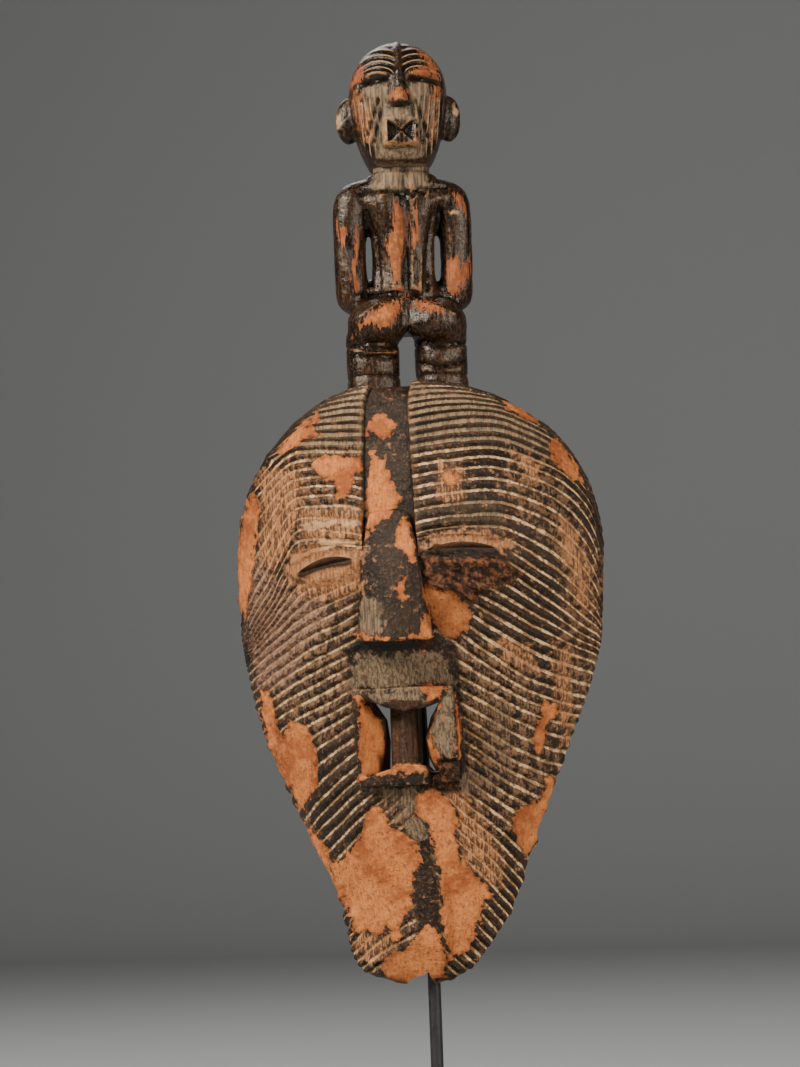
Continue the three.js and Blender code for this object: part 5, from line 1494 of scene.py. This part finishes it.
# Paint and patina shine a little; bare, rotted, dusty, sheen-painted and raw wood is matt
matt = is_bare
for also_matt in (is_rotted, dust_and_sheen, is_inside):
    matt = maths(tree, "MAXIMUM", matt, also_matt)
roughness = maths(tree, "SUBTRACT", maths(tree, "MULTIPLY_ADD", matt, 0.42, on_figure_or(0.26, 0.36)), 0.08)
roughness = maths(tree, "MULTIPLY_ADD", between(tree, speckle, 0.4, 0.6), 0.2, roughness)
height = maths(tree, "MULTIPLY_ADD", grain, 0.8, maths(tree, "MULTIPLY", speckle, 0.9))
for texture, amount in ((fine, 0.4), (middling, 1.4), (is_bare, -0.9)):
    height = maths(tree, "MULTIPLY_ADD", texture, amount, height)
bump = add(tree, "ShaderNodeBump", on_figure_or(0.36, 0.9), BUMP_HEIGHT, None, height).outputs[0]
shader = tree.nodes.new("ShaderNodeBsdfPrincipled")
tree.links.new(colour, shader.inputs["Base Color"])
tree.links.new(roughness, shader.inputs["Roughness"])
tree.links.new(bump, shader.inputs["Normal"])
shader.inputs["Specular IOR Level"].default_value = 0.36
shader.inputs["Specular Tint"].default_value = WARM_GLOSS
tree.links.new(shader.outputs[0], add(tree, "ShaderNodeOutputMaterial").inputs[0])
mask.data.materials.clear()
mask.data.materials.append(wood)

# The rod and its foot: a drawn round rod fixed to a square steel plate, both lacquered black.
# They come from the frame as they are, and only their finish is made here: a lacquer that is a little cloudy,
# with fine pits where dull metal shows and the marks of drawing along the height.
LACQUER_BLACK, LACQUER_GREY, PIT_BROWN = paint(17, 17, 18), paint(34, 33, 33), paint(74, 66, 58)
LACQUER_BUMP_HEIGHT = 0.0002

steel = bpy.data.materials.new("black_steel")
steel.use_nodes = True
tree = steel.node_tree
shader = tree.nodes["Principled BSDF"]
where = add(tree, "ShaderNodeTexCoord").outputs["Object"]
cloudy = noise(tree, where, 45.0, 4.0)
pitted = noise(tree, where, 900.0, 3.0)
drawn = grain_along(tree, where, 0.03, 700.0, 3.0, 0.55)
lacquer = mottled(tree, LACQUER_BLACK, cloudy, 0.42, 0.58, LACQUER_GREY)
lacquer = mottled(tree, lacquer, pitted, 0.6, 0.68, PIT_BROWN, 0.7)
tree.links.new(lacquer, shader.inputs["Base Color"])
lacquer_roughness = between(tree, maths(tree, "ADD", cloudy, drawn), 0.8, 1.2, 0.34, 0.6)
tree.links.new(lacquer_roughness, shader.inputs["Roughness"])
steel_height = maths(tree, "MULTIPLY_ADD", drawn, 0.7, pitted)
steel_bump = add(tree, "ShaderNodeBump", 0.35, LACQUER_BUMP_HEIGHT, None, steel_height).outputs[0]
tree.links.new(steel_bump, shader.inputs["Normal"])
for name in ("stand_rod", "stand_foot"):
    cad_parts[name].material_slots[0].material = steel

# The floor: plain pale paper that the piece stands on, curved up into a wall behind it.
# It is the stage and no part of the object. Sizes here are in metres.
FLOOR_HALF, FLOOR_FRONT, FLOOR_BEHIND = 5, -3.5, 3.2
FLOOR_CURVE, FLOOR_CURVE_STEPS, FLOOR_WALL_TOP = 1.2, 25, 5
curve_turns = np.linspace(0, math.pi / 2, FLOOR_CURVE_STEPS)[1:]
profile = [(FLOOR_FRONT, 0), (FLOOR_BEHIND, 0)]
profile += [(FLOOR_BEHIND + FLOOR_CURVE * math.sin(a), FLOOR_CURVE * (1 - math.cos(a))) for a in curve_turns]
profile += [(FLOOR_BEHIND + FLOOR_CURVE, FLOOR_WALL_TOP)]
floor_mesh = bpy.data.meshes.new("floor")
floor_points = [(side * FLOOR_HALF, y, z) for y, z in profile for side in (-1, 1)]
floor_faces = [(i, i + 1, i + 3, i + 2) for i in range(0, 2 * len(profile) - 2, 2)]
floor_mesh.from_pydata(floor_points, [], floor_faces)
floor_mesh.shade_smooth()
floor = bpy.data.objects.new("floor", floor_mesh)
bpy.context.scene.collection.objects.link(floor)
pale_paper = bpy.data.materials.new("pale_floor")
pale_paper.use_nodes = True
paper_shader = pale_paper.node_tree.nodes["Principled BSDF"]
paper_shader.inputs["Base Color"].default_value = paint(172, 175, 176)
paper_shader.inputs["Roughness"].default_value = 0.9
floor_mesh.materials.append(pale_paper)

# The light: a warm main lamp high on the left, a weaker one on the right, a faint one from behind.
# All are round and soft and point at the middle of the piece, in a room that gives a little light of its own.
# Places and sizes are in metres, powers in watts.
LIT_MIDDLE = (0, 0, 0.45)


def softbox(name, at, size, power, colour):
    """A round soft lamp pointing at the middle of the piece."""
    light = bpy.data.lights.new(name, "AREA")
    light.shape = "DISK"
    light.size = size
    light.energy = power
    light.color = colour
    lamp = bpy.data.objects.new(name, light)
    lamp.location = at
    lamp.rotation_euler = (Vector(LIT_MIDDLE) - Vector(at)).to_track_quat("-Z", "Y").to_euler()
    bpy.context.scene.collection.objects.link(lamp)


softbox("key", (-1.15, -1.4, 1.6), 0.6, 76, (1, 0.96, 0.9))
softbox("fill", (1.5, -1.0, 0.9), 0.9, 30, (1, 0.96, 0.91))
softbox("back", (-0.6, 1.2, 2.0), 1.0, 9, (1, 1, 1))
ROOM_LIGHT, ROOM_STRENGTH = (0.9, 0.88, 0.86, 1), 0.11
world = bpy.data.worlds.new("soft_room")
world.use_nodes = True
background = world.node_tree.nodes["Background"]
background.inputs["Color"].default_value = ROOM_LIGHT
background.inputs["Strength"].default_value = ROOM_STRENGTH
bpy.context.scene.world = world
